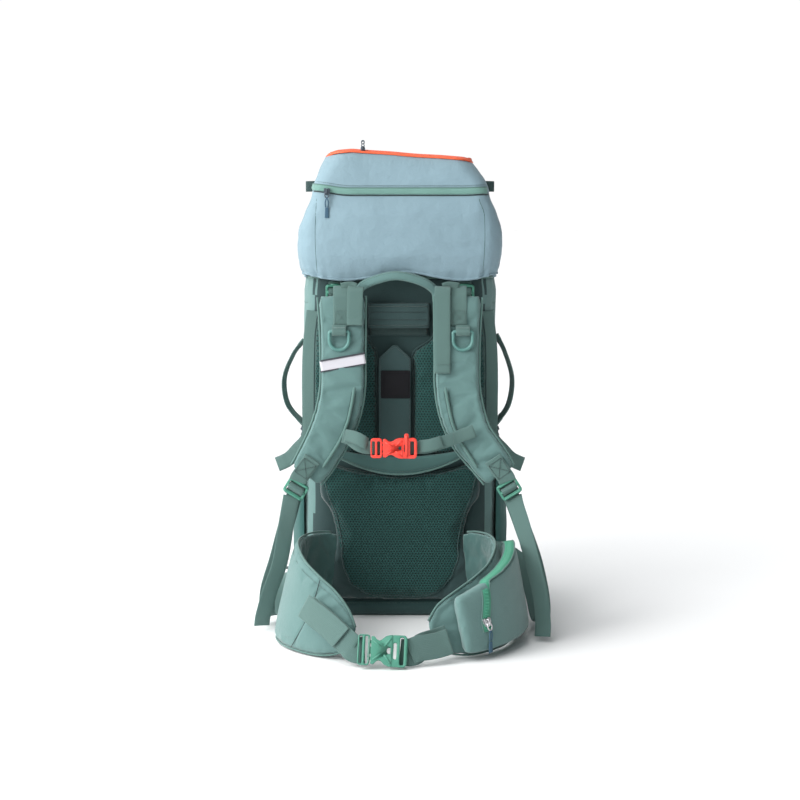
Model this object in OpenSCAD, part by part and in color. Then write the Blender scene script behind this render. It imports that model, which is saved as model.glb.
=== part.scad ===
// Top-loading hiking backpack, standing on its base, harness towards -Y.
// Origin: centre of the flat base panel, on the ground. Millimetres, +Z up.

/* [Bag] */
// Width of the main bag
bag_w = 308; // [296:1:316]
// Depth of the main bag, rear wall to front wall
bag_d = 206; // [200:1:212]
// Height of the rim of the main bag
bag_h = 545; // [541:1:547]
// Radius of the bag's upright corners
bag_corner = 48; // [42:1:52]
// Thickness of the bag's fabric with its lining and padding
bag_wall = 4; // [3:0.5:5]
// Height of the storm collar above the rim
collar_rise = 40; // [30:1:45]

/* [Lid] */
// Width of the lid at its widest
lid_w = 340; // [338:1:344]
// Height of the lid's highest point
lid_top = 745; // [735:1:750]
// Height of the lid's hem
lid_hem = 546; // [545:1:550]

/* [Harness] */
// Thickness of the shoulder pads
strap_t = 14; // [10:1:15]
// Width of the shoulder webbing
web_w = 25; // [20:1:25]
// Width of the sternum webbing
sternum_w = 20; // [15:1:20]
// Thickness of all webbing
web_t = 1.6; // [1.2:0.1:2]
// Radius of the D-rings' wire
ring_wire_r = 2.4; // [2:0.1:2.6]

/* [Hip belt] */
// Thickness of the hip wings
wing_t = 14; // [10:1:15]
// Width of the belt webbing
belt_w = 38; // [30:1:38]
// Depth of the hip pocket
hip_pocket_t = 24; // [16:1:26]

/* [Hidden] */
$fn = 32;

// Gap between pieces that are sewn or laid against each other
gap = 0.3;
// Colours
sage = [0.42, 0.60, 0.55];
deep_green = [0.13, 0.33, 0.30];
dark = [0.16, 0.24, 0.24];
sky = [0.62, 0.76, 0.82];
webbing_green = [0.38, 0.50, 0.46];
plastic_green = [0.24, 0.55, 0.44];
orange = [0.93, 0.38, 0.20];
red = [0.90, 0.20, 0.12];
navy = [0.16, 0.22, 0.30];
silver = [0.75, 0.75, 0.77];

bag_rear = -100;
bag_front = bag_rear + bag_d;
bag_mid = (bag_rear + bag_front) / 2;
base_t = 6;
bag_bottom = base_t + gap;

// ---------------------------------------------------------------- helpers

function unit(v) = v / norm(v);
function mix(a, b, t) = a + (b - a) * t;

// Catmull-Rom curve through the control points, n steps to a span
function spline_at(a, b, c, d, t) =
    0.5 * (2 * b + (c - a) * t + (2 * a - 5 * b + 4 * c - d) * t * t
    + (3 * b - a - 3 * c + d) * t * t * t);
function smooth(p, n) = concat(
    [for (i = [0:len(p) - 2]) for (k = [0:n - 1])
        spline_at(p[max(i - 1, 0)], p[i], p[i + 1], p[min(i + 2, len(p) - 1)], k / n)],
    [p[len(p) - 1]]
);
function tangent(p, i) = unit(p[min(i + 1, len(p) - 1)] - p[max(i - 1, 0)]);
function square_to(v, t) = unit(v - (v * t) * t);

// Six times the signed volume of a triangle mesh
function six_volumes(pts, faces, i = 0, sum = 0) =
    i == len(faces) ? sum
    : six_volumes(pts, faces, i + 1, sum + pts[faces[i][0]] * cross(pts[faces[i][1]], pts[faces[i][2]]));

// Closed skin over rings of equal point count
module skin(rings) {
    m = len(rings[0]);
    n = len(rings);
    pts = [for (r = rings) each r];
    sides = [for (i = [0:n - 2]) for (j = [0:m - 1]) for (half = [0, 1])
        half == 0 ? [i * m + j, i * m + (j + 1) % m, (i + 1) * m + (j + 1) % m]
        : [i * m + j, (i + 1) * m + (j + 1) % m, (i + 1) * m + j]];
    first = [for (j = [1:m - 2]) [0, j + 1, j]];
    last = [for (j = [1:m - 2]) [(n - 1) * m, (n - 1) * m + j, (n - 1) * m + j + 1]];
    faces = concat(sides, first, last);
    outward = six_volumes(pts, faces) > 0;
    polyhedron(pts, outward ? [for (f = faces) [f[2], f[1], f[0]]] : faces);
}

// Flat webbing of width w along a path; side is roughly the direction of its width
function ribbon_rings(path, side, w, t) = [for (i = [0:len(path) - 1])
    let (tan = tangent(path, i), s = square_to(side, tan), n = cross(tan, s))
    [path[i] - s * w / 2 - n * t / 2, path[i] + s * w / 2 - n * t / 2,
     path[i] + s * w / 2 + n * t / 2, path[i] - s * w / 2 + n * t / 2]];
module ribbon(path, side, w, t = web_t) skin(ribbon_rings(path, side, w, t));

// Webbing whose width turns from one direction to another over its first share
module turning_ribbon(path, side0, side1, share, w, t = web_t) skin([for (i = [0:len(path) - 1])
    let (tan = tangent(path, i), k = min(1, i / (len(path) - 1) / share),
        s = square_to(mix(side0, side1, k), tan), n = cross(tan, s))
    [path[i] - s * w / 2 - n * t / 2, path[i] + s * w / 2 - n * t / 2,
     path[i] + s * w / 2 + n * t / 2, path[i] - s * w / 2 + n * t / 2]]);

// Pad with soft edges: eight points a ring, w wide and t thick
function pad_ring(c, s, n, w, t) = [for (k = [[-1, -0.3], [-0.8, -1], [0.8, -1], [1, -0.3],
    [1, 0.3], [0.8, 1], [-0.8, 1], [-1, 0.3]]) c + s * k[0] * w / 2 + n * k[1] * t / 2];

// Round rod of radius r along a path
module rod(path, r, sides = 8) skin([for (i = [0:len(path) - 1])
    let (tan = tangent(path, i), s = square_to(abs(tan[0]) < 0.9 ? [1, 0, 0] : [0, 0, 1], tan),
        n = cross(tan, s))
    [for (k = [0:sides - 1]) path[i] + r * (cos(360 * k / sides) * s + sin(360 * k / sides) * n)]]);

// Rectangle w by d with rounded corners
module round_rect(w, d, r) {
    square([w - 2 * r, d], center = true);
    square([w, d - 2 * r], center = true);
    for (x = [-1, 1]) for (y = [-1, 1]) translate([x * (w / 2 - r), y * (d / 2 - r)]) circle(r);
}

// Upright prism with rounded corners, centred on the bag
module upright(w, d, r, z0, z1, y = bag_mid)
    translate([0, y, z0]) linear_extrude(z1 - z0) round_rect(w, d, r);

// Plate drawn in the XZ plane, from y0 (nearest the wearer) to y1
module rear_plate(y0, y1) translate([0, y1, 0]) rotate([90, 0, 0]) linear_extrude(y1 - y0) children();

// Both sides of the pack
module both_sides() {
    children();
    mirror([1, 0, 0]) children();
}

// ---------------------------------------------------------------- bag

module main_bag() color(sage) difference() {
    upright(bag_w, bag_d, bag_corner, bag_bottom, bag_h);
    upright(bag_w - 2 * bag_wall, bag_d - 2 * bag_wall, bag_corner - bag_wall,
        bag_bottom + bag_wall, bag_h + 1);
}

module base_panel() color(deep_green)
    translate([0, bag_mid, 0]) linear_extrude(base_t) round_rect(bag_w - 12, bag_d - 12, bag_corner - 6);

collar_w = bag_w - 2 * bag_wall - 2 * gap;
collar_d = bag_d - 2 * bag_wall - 2 * gap;
collar_r = bag_corner - bag_wall - gap;
collar_t = 2.5;
collar_top = bag_h + collar_rise;
collar_sewn = 24; // how far the collar reaches down inside the rim

module storm_collar() color(sky) difference() {
    upright(collar_w, collar_d, collar_r, bag_h - collar_sewn, collar_top);
    upright(collar_w - 2 * collar_t, collar_d - 2 * collar_t, collar_r - collar_t,
        bag_h - collar_sewn - 1, collar_top + 1);
}

inner_rear = bag_rear + bag_wall;
sheet_t = 1.5;
stay_t = 3;
sheet_mid = 265;
sheet_h = 470;

module frame_sheet() color([0.9, 0.9, 0.88])
    rear_plate(inner_rear + gap, inner_rear + gap + sheet_t) translate([0, sheet_mid]) round_rect(206, sheet_h, 30);

module frame_stays() color(silver) both_sides()
    translate([58, inner_rear + 2 * gap + sheet_t, sheet_mid - sheet_h / 2 + 5]) cube([25, stay_t, sheet_h - 15]);

sleeve_y = inner_rear + 3 * gap + sheet_t + stay_t;
sleeve_d = 18;

sleeve_wall = 2;

module hydration_sleeve() color(dark) translate([0, sleeve_y, 0]) difference() {
    translate([-95, 0, 160]) cube([190, sleeve_d, 320]);
    translate([-95 + sleeve_wall, sleeve_wall, 160 + sleeve_wall])
        cube([190 - 2 * sleeve_wall, sleeve_d - 2 * sleeve_wall, 320]);
}

// ---------------------------------------------------------------- back panel

pad_y0 = bag_rear - gap;
pad_t = 15;
pads_low = 262; // where the back pads begin and the lumbar pad ends
channel_mid = -8;
channel_half = 29;

// One upper back pad: outer edge follows the bag, inner edge leaves the torso channel free
module back_pad(inner, outer) color(deep_green) rear_plate(pad_y0 - pad_t, pad_y0)
    polygon([[outer, pads_low], [outer, 440], [outer * 0.93, 500], [sign(outer) * 54, 500],
        [sign(outer) * 52, 452], [inner, 430], [inner, pads_low]]);

module back_pads() {
    back_pad(channel_mid - channel_half, -136);
    back_pad(channel_mid + channel_half, 136);
}

lumbar_t = 20;
module lumbar_pad() color(deep_green) rear_plate(pad_y0 - lumbar_t, pad_y0)
    polygon(concat(
        [[-132, 30], [132, 30], [138, 60], [104, 120], [104, 150], [134, 205], [128, 226]],
        [for (a = [40:-10:-40]) [150 * sin(a) / sin(40) * 0.8, 231 + 26 * (1 - cos(a * 1.6))]],
        [[-128, 226], [-134, 205], [-104, 150], [-104, 120], [-138, 60]]));

// Crescent flap over the top of the lumbar pad
module lumbar_cover() color(sage) rear_plate(pad_y0 - lumbar_t - 3, pad_y0 - lumbar_t - gap)
    polygon(concat(
        [for (a = [-40:10:40]) [100 * sin(a) / sin(40), pads_low - 34 * cos(a * 2.1)]],
        [for (a = [40:-10:-40]) [97 * sin(a) / sin(40), 274 - 16 * cos(a * 2.1)]]));

// Backing with rungs of webbing that set the back length
ladder_mid = [-2, 479];
ladder_pitch = 17;
module torso_ladder() color(dark) {
    rear_plate(pad_y0 - 3, pad_y0) translate(ladder_mid) square([96, 50], center = true);
    for (k = [-1:1]) rear_plate(pad_y0 - 5, pad_y0 - 3)
        translate([ladder_mid[0], ladder_mid[1] + k * ladder_pitch]) square([90, 11], center = true);
}

// Wide tongue that lies over the back channel
tongue_w = 50;
tongue_t = 3;
module torso_strap() color(dark) rear_plate(pad_y0 - pad_t - tongue_t, pad_y0 - pad_t)
    polygon([for (p = [[-tongue_w / 2, 250], [tongue_w / 2, 250], [tongue_w / 2, 420], [tongue_w / 2 - 3, 424],
        [3, 440], [-3, 440], [-tongue_w / 2 + 3, 424], [-tongue_w / 2, 420]]) [p[0] + channel_mid, p[1]]]);

module torso_patch() color([0.08, 0.08, 0.09]) rear_plate(pad_y0 - pad_t - tongue_t - 1.5, pad_y0 - pad_t - tongue_t - gap / 2)
    translate([channel_mid + 1, 378]) square([46, 44], center = true);

// Carrying loop at the top of the back
haul_path = smooth([[-68, -123, 509], [-65, -126, 524], [-48, -132, 539], [-8, -137, 550],
    [32, -132, 541], [54, -126, 526], [58, -123, 509]], 4);
module haul_loop() color(webbing_green)
    skin([for (i = [0:len(haul_path) - 1])
        let (t = tangent(haul_path, i), n = square_to([0, 1, 0], t))
        pad_ring(haul_path[i], cross(t, n), n, 14, 6)]);

// ---------------------------------------------------------------- pockets

side_pocket_t = 22;
side_pocket_d = 150;
side_pocket_h = 218;
side_pocket_wall = 3;

module side_pocket() color(sage) translate([bag_w / 2 + gap, bag_mid - 3 - side_pocket_d / 2, 8]) difference() {
    cube([side_pocket_t, side_pocket_d, side_pocket_h]);
    translate([1, 1, 1] * side_pocket_wall)
        cube([side_pocket_t - 2 * side_pocket_wall, side_pocket_d - 2 * side_pocket_wall, side_pocket_h]);
}
module side_pocket_left() mirror([1, 0, 0]) side_pocket();
module side_pocket_right() side_pocket();

front_pocket_t = 34;
front_pocket_face = bag_front + gap + front_pocket_t;

// Rounded box that narrows away from the bag, from depth y0 to y1, s smaller all round
function pocket_rings(y0, y1, s) = [for (k = [[0, 1, 1], [0.7, 1, 0.99], [1, 0.86, 0.9]])
    let (w = 108 * k[1] - s, h = 180 * k[2] - s)
    [for (c = [[-1, -0.85], [-0.85, -1], [0.85, -1], [1, -0.85], [1, 0.85], [0.85, 1], [-0.85, 1], [-1, 0.85]])
        [c[0] * w, bag_front + gap + y0 + (y1 - y0) * k[0], 235 + c[1] * h]]];

module front_pocket() color(sage) difference() {
    skin(pocket_rings(0, front_pocket_t, 0));
    skin(pocket_rings(-1, front_pocket_t - 3, 4));
}

// Small webbing loops low on the side pockets
loop_x = bag_w / 2 + gap + side_pocket_t + 1.1;
loop_path = smooth([[loop_x, -62, 72], [loop_x + 14, -62, 70], [loop_x + 25, -62, 52], [loop_x + 22, -62, 28],
    [loop_x + 8, -62, 14], [loop_x, -62, 14]], 3);
module side_loops() color(dark) both_sides() ribbon(loop_path, [0, 1, 0], 15);

front_zip_z = 340;
module zip_track(length, w = 12, t = 1.6) cube([length, t, w], center = true);
module front_zip_track() color(orange)
    translate([0, front_pocket_face + gap + 0.8, front_zip_z]) zip_track(170);

// Slider body with its pull, drawn on a track that faces -Y; the pull hangs down
module zip_slider(pull = 26) {
    translate([-5, -3.4, -4]) cube([10, 3, 8]);
    translate([-1.5, -5, -3]) cube([3, 1.8, 6]);
    translate([-3, -5.4, -6 - pull]) cube([6, 1.6, pull]);
    translate([-1.2, -5.2, -7]) cube([2.4, 1.2, 6]);
}

front_zip_x = -76;
module front_zip_slider() color(silver)
    translate([front_zip_x, front_pocket_face + gap + 1.6 + 0.2, front_zip_z]) rotate([0, 0, 180]) zip_slider();

// ---------------------------------------------------------------- buckles

// Ladder lock for webbing w wide: bars across X, length along Z, from y = -t to 0
module ladder_lock(w, t = 4) difference() {
    rear_plate(-t, 0) round_rect(w + 10, 26, 4);
    for (z = [5.5, -4.5]) rear_plate(-t - 1, 1) translate([0, z]) square([w + 2, 6.5], center = true);
}

// Side-release buckle for webbing w wide, half as wide as h, its thickness scaled by k. The two
// halves mate near x = 0 and the plug leaves along -X.
plug_root = -17;
sternum_half = 16;
belt_half = 23;
belt_thick = 1.35;
module buckle_plug(w = sternum_w, h = sternum_half, k = 1) {
    z = h / 16;
    difference() {
        rear_plate(-3.2 * k, 3.2 * k) translate([(plug_root - 35) / 2, 0]) round_rect(35 + plug_root, 31 * z, 4);
        for (x = [-30.5, -22.5]) rear_plate(-6, 6) translate([x, 0]) square([5, w + 1.5], center = true);
    }
    rear_plate(-2 * k, 2 * k) polygon([[plug_root - 1, 4 * z], [6, 3 * z], [6, -3 * z], [plug_root - 1, -4 * z]]);
    for (s = [-z, z]) rear_plate(-2 * k, 2 * k) polygon([[plug_root - 1, s * 10], [-4, s * 9.5],
        [0, s * 10.3], [5, s * 8], [5, s * 6], [-4, s * 6.2], [plug_root - 1, s * 6.2]]);
}

module buckle_socket(w = sternum_w, h = sternum_half, k = 1, whistle = false) {
    z = h / 16;
    difference() {
        union() {
            rear_plate(-4.5 * k, 4.5 * k) polygon([for (p = [[-16, 13.5], [-12, 14], [-7, 10.2], [-1, 10.2], [5, 14],
                [14, 16], [14, -16], [5, -14], [-1, -10.2], [-7, -10.2], [-12, -14], [-16, -13.5]])
                [p[0], p[1] * z]]);
            rear_plate(-3.6 * k, 3.6 * k) translate([24, 0]) round_rect(24, 32 * z, 5);
            if (whistle) rear_plate(-5.5, 4.5) translate([20, 3]) square([7, 38], center = true);
        }
        rear_plate(-2.6 * k, 2.6 * k) translate([-5, 0]) square([26, 23 * z], center = true);
        rear_plate(-9, 9) translate([11, 0]) circle(4.2 * z);
        rear_plate(-9, 9) translate([28.5, 0]) square([6, w + 2], center = true);
        if (whistle) translate([20, -1, 12]) cylinder(r = 1.8, h = 12);
    }
}

// ---------------------------------------------------------------- straps on the bag

anchor_x = 102;
module lid_anchor_webbing() color(webbing_green) both_sides() ribbon(
    smooth([[anchor_x, -101.3, 503], [anchor_x, -102, 515], [anchor_x, -103, 527], [anchor_x, -105, 539]], 3),
    [1, 0, 0], 20);
module lid_anchor_buckles() color(plastic_green) both_sides()
    translate([anchor_x, -104.5, 522]) rotate([4, 0, 0]) ladder_lock(20);

// Webbing arcs that bow out from the sides as carrying handles
arc_left = smooth([[-155.5, -44, 441], [-172, -52, 418], [-186, -54, 380], [-181, -48, 338], [-156.5, -40, 306]], 4);
arc_right = smooth([[155.5, -44, 449], [168, -54, 424], [180, -56, 382], [175, -48, 338], [156.5, -40, 308]], 4);
module side_handles() color(webbing_green) {
    ribbon(arc_left, [0.3, 1, 0], 20);
    ribbon(arc_right, [-0.3, 1, 0], 20);
}
module side_handle_buckles() color(navy) for (s = [-1, 1])
    translate([s * (bag_w / 2 + 0.6), -41, 288]) rotate([0, 0, s * 90]) ladder_lock(20);

// Webbing down the rear corners, with a free tail
corner_in = bag_corner + 2.2;
function corner_point(a, z, out = 0) = [-(bag_w / 2 - bag_corner) - (corner_in + out) * cos(a),
    bag_rear + bag_corner - (corner_in + out) * sin(a), z];
stabiliser = smooth([corner_point(48, 492), corner_point(38, 440), corner_point(33, 385), corner_point(33, 330),
    corner_point(33, 292, 1), [-161, -86, 270], [-178, -88, 255], [-196, -88, 246]], 4);
module stabiliser_straps() color(webbing_green) both_sides() ribbon(stabiliser, [0.55, -0.8, -0.1], 22);

// Lower shoulder webbing: from the bag's bottom corner, out over the ground and up to the ladder lock,
// then back down from the lock as a free tail
function flip_x(p) = [-p[0], p[1], p[2]];
lower_left = smooth([corner_point(38, 92, 1), [-168, -98, 86], [-188, -114, 58], [-200, -134, 26],
    [-206, -156, 15], [-208, -174, 28], [-205, -182, 66], [-191, -186, 112], [-178, -188, 160],
    [-163, -188, 214]], 4);
lower_right = smooth([flip_x(corner_point(38, 108, 1)), [172, -98, 106], [200, -114, 84], [211, -136, 44],
    [216, -172, 17], [218, -212, 20], [218, -222, 56], [207, -212, 112], [189, -197, 165],
    [171, -188, 214]], 4);
tail_line_left = smooth([[-164, -206.5, 221], [-173, -206, 170], [-185, -204, 112], [-201, -200, 66],
    [-212, -196, 28], [-215, -191, 9]], 4);
tail_line_right = smooth([[172, -208, 221], [188, -215, 170], [204, -231, 112], [214, -244, 66],
    [217, -254, 28], [216, -260, 9]], 4);
module lower_webbing_left() color(webbing_green) {
    turning_ribbon(lower_left, [0, 0, 1], [1, 0.2, 0.2], 0.35, web_w);
    ribbon(tail_line_left, [1, 0.3, 0.2], web_w);
}
module lower_webbing_right() color(webbing_green) {
    turning_ribbon(lower_right, [0, 0, 1], [1, -0.2, -0.2], 0.35, web_w);
    ribbon(tail_line_right, [1, -0.5, -0.2], web_w);
}

// ---------------------------------------------------------------- lid

hinge_y = -128;
hinge_z = 572;
lid_y0 = -128;
lid_y1 = 132;

lid_corner = 0.19; // corner radius as a share of the lid's half depth
// One outline of the lid: half width, rear and front edge, height
function lid_ring(hw, y0, y1, z, n = 5) = let (r = min(hw, (y1 - y0) / 2) * lid_corner)
    [for (c = [[1, 1, 0], [-1, 1, 90], [-1, -1, 180], [1, -1, 270]]) for (k = [0:n])
        let (a = c[2] + 90 * k / n)
        [c[0] * (hw - r) + r * cos(a), (c[1] > 0 ? y1 - r : y0 + r) + r * sin(a), z]];

lid_wall = 5;
liner_z = 602;
// Outline of the lid, s smaller all round, from the height z0 of its lowest ring
function lid_rings(s, z0) = [
    lid_ring(lid_w / 2 - 3 - s, lid_y0 + 0.5 + s, lid_y1 - 1 - s, z0),
    lid_ring(lid_w / 2 - s, lid_y0 + s, lid_y1 - s, 590),
    lid_ring(lid_w / 2 - 5 - s, lid_y0 + 0.5 + s, lid_y1 - s, 625),
    lid_ring(lid_w / 2 - 16 - s, -126 + s, 129 - s, 660),
    lid_ring(lid_w / 2 - 27 - s, -124 + s, 126 - s, 684),
    lid_ring(lid_w / 2 - 42 - s, -115 + s, 116 - s, 712 - s / 2),
    lid_ring(lid_w / 2 - 55 - s, -100 + s, 100 - s, lid_top - 10 - s),
    lid_ring(lid_w / 2 - 70 - s, -80 + s, 80 - s, lid_top - s)];

module lid_shell() color(sky) difference() {
    skin(lid_rings(0, lid_hem));
    skin(lid_rings(lid_wall, lid_hem - 1));
}

// Floor of the lid's pocket, sewn into the lid's wall
module lid_liner() color(sky) skin([for (z = [liner_z, liner_z + 2])
    lid_ring(lid_w / 2 - lid_wall, lid_y0 + lid_wall - 1, lid_y1 - lid_wall + 1, z)]);

tab_slope = 28;
module lid_side_tabs() color([0.10, 0.22, 0.20]) for (s = [-1, 1])
    translate([s * 144, 0, 689.6]) rotate([0, -s * tab_slope, 0]) cube([5, 25, 18], center = true);

rear_zip_y = -125.8;
rear_zip_z = 680;
rear_zip_l = 236;
module lid_rear_zip_track() color([0.45, 0.66, 0.60])
    translate([0, rear_zip_y, rear_zip_z]) zip_track(rear_zip_l, 9);

// The top zip lies on the slope at the rear edge of the lid's top
module on_top_slope() translate([0, -90, lid_top - 5]) rotate([-atan2(20, 10), 0, 0]) translate([0, -1.2, 0])
    children();
module lid_top_zip_track() color(orange) on_top_slope() zip_track(132, 12);

// Front clips: each plug leaves its socket along the tangent of the lid's swing
clip_x = 78;
clip_y = 124;
clip_z = 486;
clip_tilt = atan2(hinge_z - clip_z, clip_y - hinge_y);
module front_clips() for (s = [-1, 1]) translate([s * clip_x, clip_y, clip_z]) rotate([-clip_tilt, 0, 0])
    rotate([0, 90, 0]) children();
// Point u up the clip's line and v out from it
function clip_point(s, u, v) = [s * clip_x, clip_y + u * sin(clip_tilt) + v * cos(clip_tilt),
    clip_z + u * cos(clip_tilt) - v * sin(clip_tilt)];

module lid_front_plugs() color(plastic_green) front_clips() buckle_plug();
module lid_front_sockets() color(plastic_green) front_clips() buckle_socket();
module lid_front_straps() color(webbing_green) for (s = [-1, 1])
    ribbon(smooth([[s * clip_x, 133.5, 625], [s * clip_x, 134, 585], [s * clip_x, 137, 550],
        clip_point(s, 36, 4.8), clip_point(s, 20, 4.8)], 3), [1, 0, 0], 20);
module lid_socket_webbing() color(webbing_green) for (s = [-1, 1])
    ribbon(smooth([[s * clip_x, bag_front + 1.3, 420], [s * clip_x, bag_front + 1.4, 438],
        clip_point(s, -35, -4.8), clip_point(s, -24, -4.8)], 3), [1, 0, 0], 20);

module lid_rear_zip_slider() color(navy) 
    translate([-rear_zip_l / 2 + 5, rear_zip_y - 0.6, rear_zip_z]) zip_slider(34);
module lid_top_zip_slider() color(navy) on_top_slope() translate([-58, -0.6, 0]) zip_slider(8);

// ---------------------------------------------------------------- harness

module harness_yoke() color(dark) rear_plate(-122.5, -119) translate([-2, 486]) round_rect(98, 40, 6);

// Centre line and width of a shoulder pad, top to bottom; its lower end lies at x = end_x
function pad_line(end_x) = smooth([[90.5, -140, 521, 77], [89, -144, 470, 73], [88.5, -151, 420, 71],
    [89, -158, 377, 71], [96, -168, 338, 70], [110, -177, 303, 66], [end_x - 17, -184, 268, 62],
    [end_x, -188, 243, 56]], 4);
function line_points(line) = [for (p = line) [p[0], p[1], p[2]]];
module shoulder_pad(end_x) color(sage) {
    line = pad_line(end_x);
    points = line_points(line);
    skin([for (i = [0:len(line) - 1])
        let (t = tangent(points, i), n = square_to([0, -1, -0.1], t), s = cross(t, n))
        pad_ring(points[i], s, n, line[i][3], strap_t)]);
}
pad_end = [146, 154];
module shoulder_pad_left() mirror([1, 0, 0]) shoulder_pad(pad_end[0]);
module shoulder_pad_right() shoulder_pad(pad_end[1]);

// Load lifters: sewn below the D-ring, up over the pad's top, with a tail in front
front_off = strap_t / 2 + 1.3;
lifter = smooth([[91, -144 - front_off, 473], [91, -142 - front_off, 505], [91, -141 - front_off, 521],
    [91, -140, 533], [91, -130.5, 528], [92, -127.5, 515]], 4);
tail_right = smooth([[66, -146.5, 533], [65.5, -154, 526], [65.5, -157, 500], [65.5, -162, 450], [65.5, -166, 400]], 4);
tail_left = smooth([[-63, -146.5, 533], [-63, -154, 526], [-63, -157, 500], [-63, -160, 480], [-63, -168, 474]], 4);
module load_lifters() color(webbing_green) {
    both_sides() ribbon(lifter, [1, 0, 0], web_w - 0.5);
    ribbon(tail_right, [1, 0, 0], web_w - 0.5);
    ribbon(tail_left, [1, 0, 0], web_w - 0.5);
}

// Plain label across the left pad
module strap_label() color([0.88, 0.87, 0.90])
    ribbon([[-123, -162.5, 405], [-89, -162.5, 412], [-54, -162.5, 419]], [0, 0.1, 1], 16, 0.8);

// Rails that the sternum strap is set on
rail = smooth([[70, -169.5, 379], [75, -175, 350], [82, -180.5, 322], [96, -187, 292], [119, -194, 257]], 4);
module sternum_rails() color(sage) both_sides() rod(rail, 2);

// Doubled webbing that holds each ladder lock to its pad, and the lock, at the pad's end
module at_pad_ends() {
    translate([-pad_end[0], 0, 0]) mirror([1, 0, 0]) children();
    translate([pad_end[1], 0, 0]) children();
}
anchor_line = smooth([[-12, -196.5, 272], [-1, -198, 256], [8, -199.6, 244], [11, -199.9, 237]], 3);
module lock_anchors() color(webbing_green) at_pad_ends() ribbon(anchor_line, [1, 0, 0.65], 30);

lock_angle = 32;
module shoulder_ladder_locks() color(plastic_green) at_pad_ends()
    translate([14, -193.5, 225]) rotate([0, -lock_angle, 0]) ladder_lock(web_w, 5);

// Middle of each D-ring, left and right
ring_x = [-94, 97];
ring_y = -159.4;
ring_z = 464;
ring_half = 15;
module d_ring_keepers() color(webbing_green) for (x = ring_x) translate([x, ring_y, ring_z]) difference() {
    union() {
        rotate([0, 90, 0]) cylinder(r = ring_wire_r + 1.8, h = 22, center = true);
        translate([-11, 0.4, 0]) cube([22, 3, 7]);
    }
    rotate([0, 90, 0]) cylinder(r = ring_wire_r + 0.4, h = 24, center = true);
}
module d_ring(x) color(plastic_green) translate([x, ring_y, ring_z]) {
    rotate([0, 90, 0]) cylinder(r = ring_wire_r, h = 2 * ring_half, center = true);
    for (s = [-1, 1]) translate([s * ring_half, 0, 0]) {
        sphere(ring_wire_r);
        translate([0, 0, -13]) cylinder(r = ring_wire_r, h = 13);
    }
    translate([0, 0, -13]) rotate([90, 0, 0]) rotate([0, 0, 180])
        rotate_extrude(angle = 180) translate([ring_half, 0]) circle(ring_wire_r);
}
module d_ring_left() d_ring(ring_x[0]);
module d_ring_right() d_ring(ring_x[1]);

sternum_z = 290;
sternum_y = -205;
buckle_x = -10;
module sternum_webbing() color(webbing_green) {
    ribbon(smooth([[-88, -192.5, 306], [-78, -196, 303], [-66, -201.5, 295], [-52, -202.5, sternum_z],
        [buckle_x - 19, -202.5, sternum_z]], 3), [0, 0, 1], sternum_w);
    ribbon(smooth([[buckle_x + 26, -202.5, sternum_z], [42, -202.5, 291], [70, -199, 299], [92, -196, 307],
        [114, -197, 315]], 3), [-0.2, 0, 1], sternum_w);
}
module sternum_socket() color(red) translate([buckle_x, sternum_y - 4, sternum_z])
    buckle_socket(whistle = true);
module sternum_plug() color(red) translate([buckle_x, sternum_y - 4, sternum_z]) buckle_plug();

// ---------------------------------------------------------------- hip belt

// Bottom and top edge of each wing from the lumbar pad to its tip
wing_left_bottom = [[-112, -134, 26], [-150, -148, 12], [-178, -190, 4], [-187, -236, 2], [-177, -282, 2],
    [-152, -320, 2], [-118, -347, 2], [-88, -361, 9], [-70, -368, 26]];
wing_left_top = [[-98, -134, 146], [-126, -150, 150], [-147, -194, 152], [-152, -240, 149], [-140, -284, 134],
    [-118, -317, 118], [-92, -340, 99], [-72, -354, 74], [-63, -364, 52]];
wing_right_bottom = [[112, -134, 26], [142, -148, 12], [162, -190, 4], [168, -236, 2], [157, -282, 2],
    [132, -320, 2], [100, -345, 2], [68, -358, 9], [44, -364, 26]];
wing_right_top = [[98, -134, 146], [120, -150, 150], [138, -194, 152], [142, -240, 146], [130, -284, 130],
    [108, -317, 116], [80, -338, 100], [54, -350, 82], [40, -358, 60]];

// Rings of a wall between a bottom and a top edge, off out from it, t thick, from share lo to hi of its height
function wall_rings(bottom, top, off, t, lo = 0, hi = 1) = [for (i = [0:len(bottom) - 1])
    let (tan = tangent(mix(bottom, top, 0.5), i), up = square_to(top[i] - bottom[i], tan),
        out = unit(cross(tan, up)) * (bottom[i][0] < 0 ? 1 : -1),
        a = mix(bottom[i], top[i], lo), b = mix(bottom[i], top[i], hi))
    pad_ring(mix(a, b, 0.5) + out * off, unit(b - a), out, norm(b - a), t)];
function part_of(list, from, to) = [for (i = [from:to]) list[i]];

module hip_wing_left() color(sage) skin(wall_rings(smooth(wing_left_bottom, 2), smooth(wing_left_top, 2), 0, wing_t));
module hip_wing_right() color(sage) skin(wall_rings(smooth(wing_right_bottom, 2), smooth(wing_right_top, 2), 0, wing_t));

pocket_bottom = smooth(part_of(wing_right_bottom, 2, 6), 2);
pocket_top = smooth(part_of(wing_right_top, 2, 6), 2);
pocket_off = wing_t / 2 + 4 * gap;
module hip_pocket() color(sage) difference() {
    skin(wall_rings(pocket_bottom, pocket_top, pocket_off + hip_pocket_t / 2, hip_pocket_t, 0.06, 0.96));
    skin(wall_rings(part_of(pocket_bottom, 1, len(pocket_bottom) - 2), part_of(pocket_top, 1, len(pocket_top) - 2),
        pocket_off + (hip_pocket_t - 4) / 2, hip_pocket_t - 2, 0.1, 0.92));
}

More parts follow.
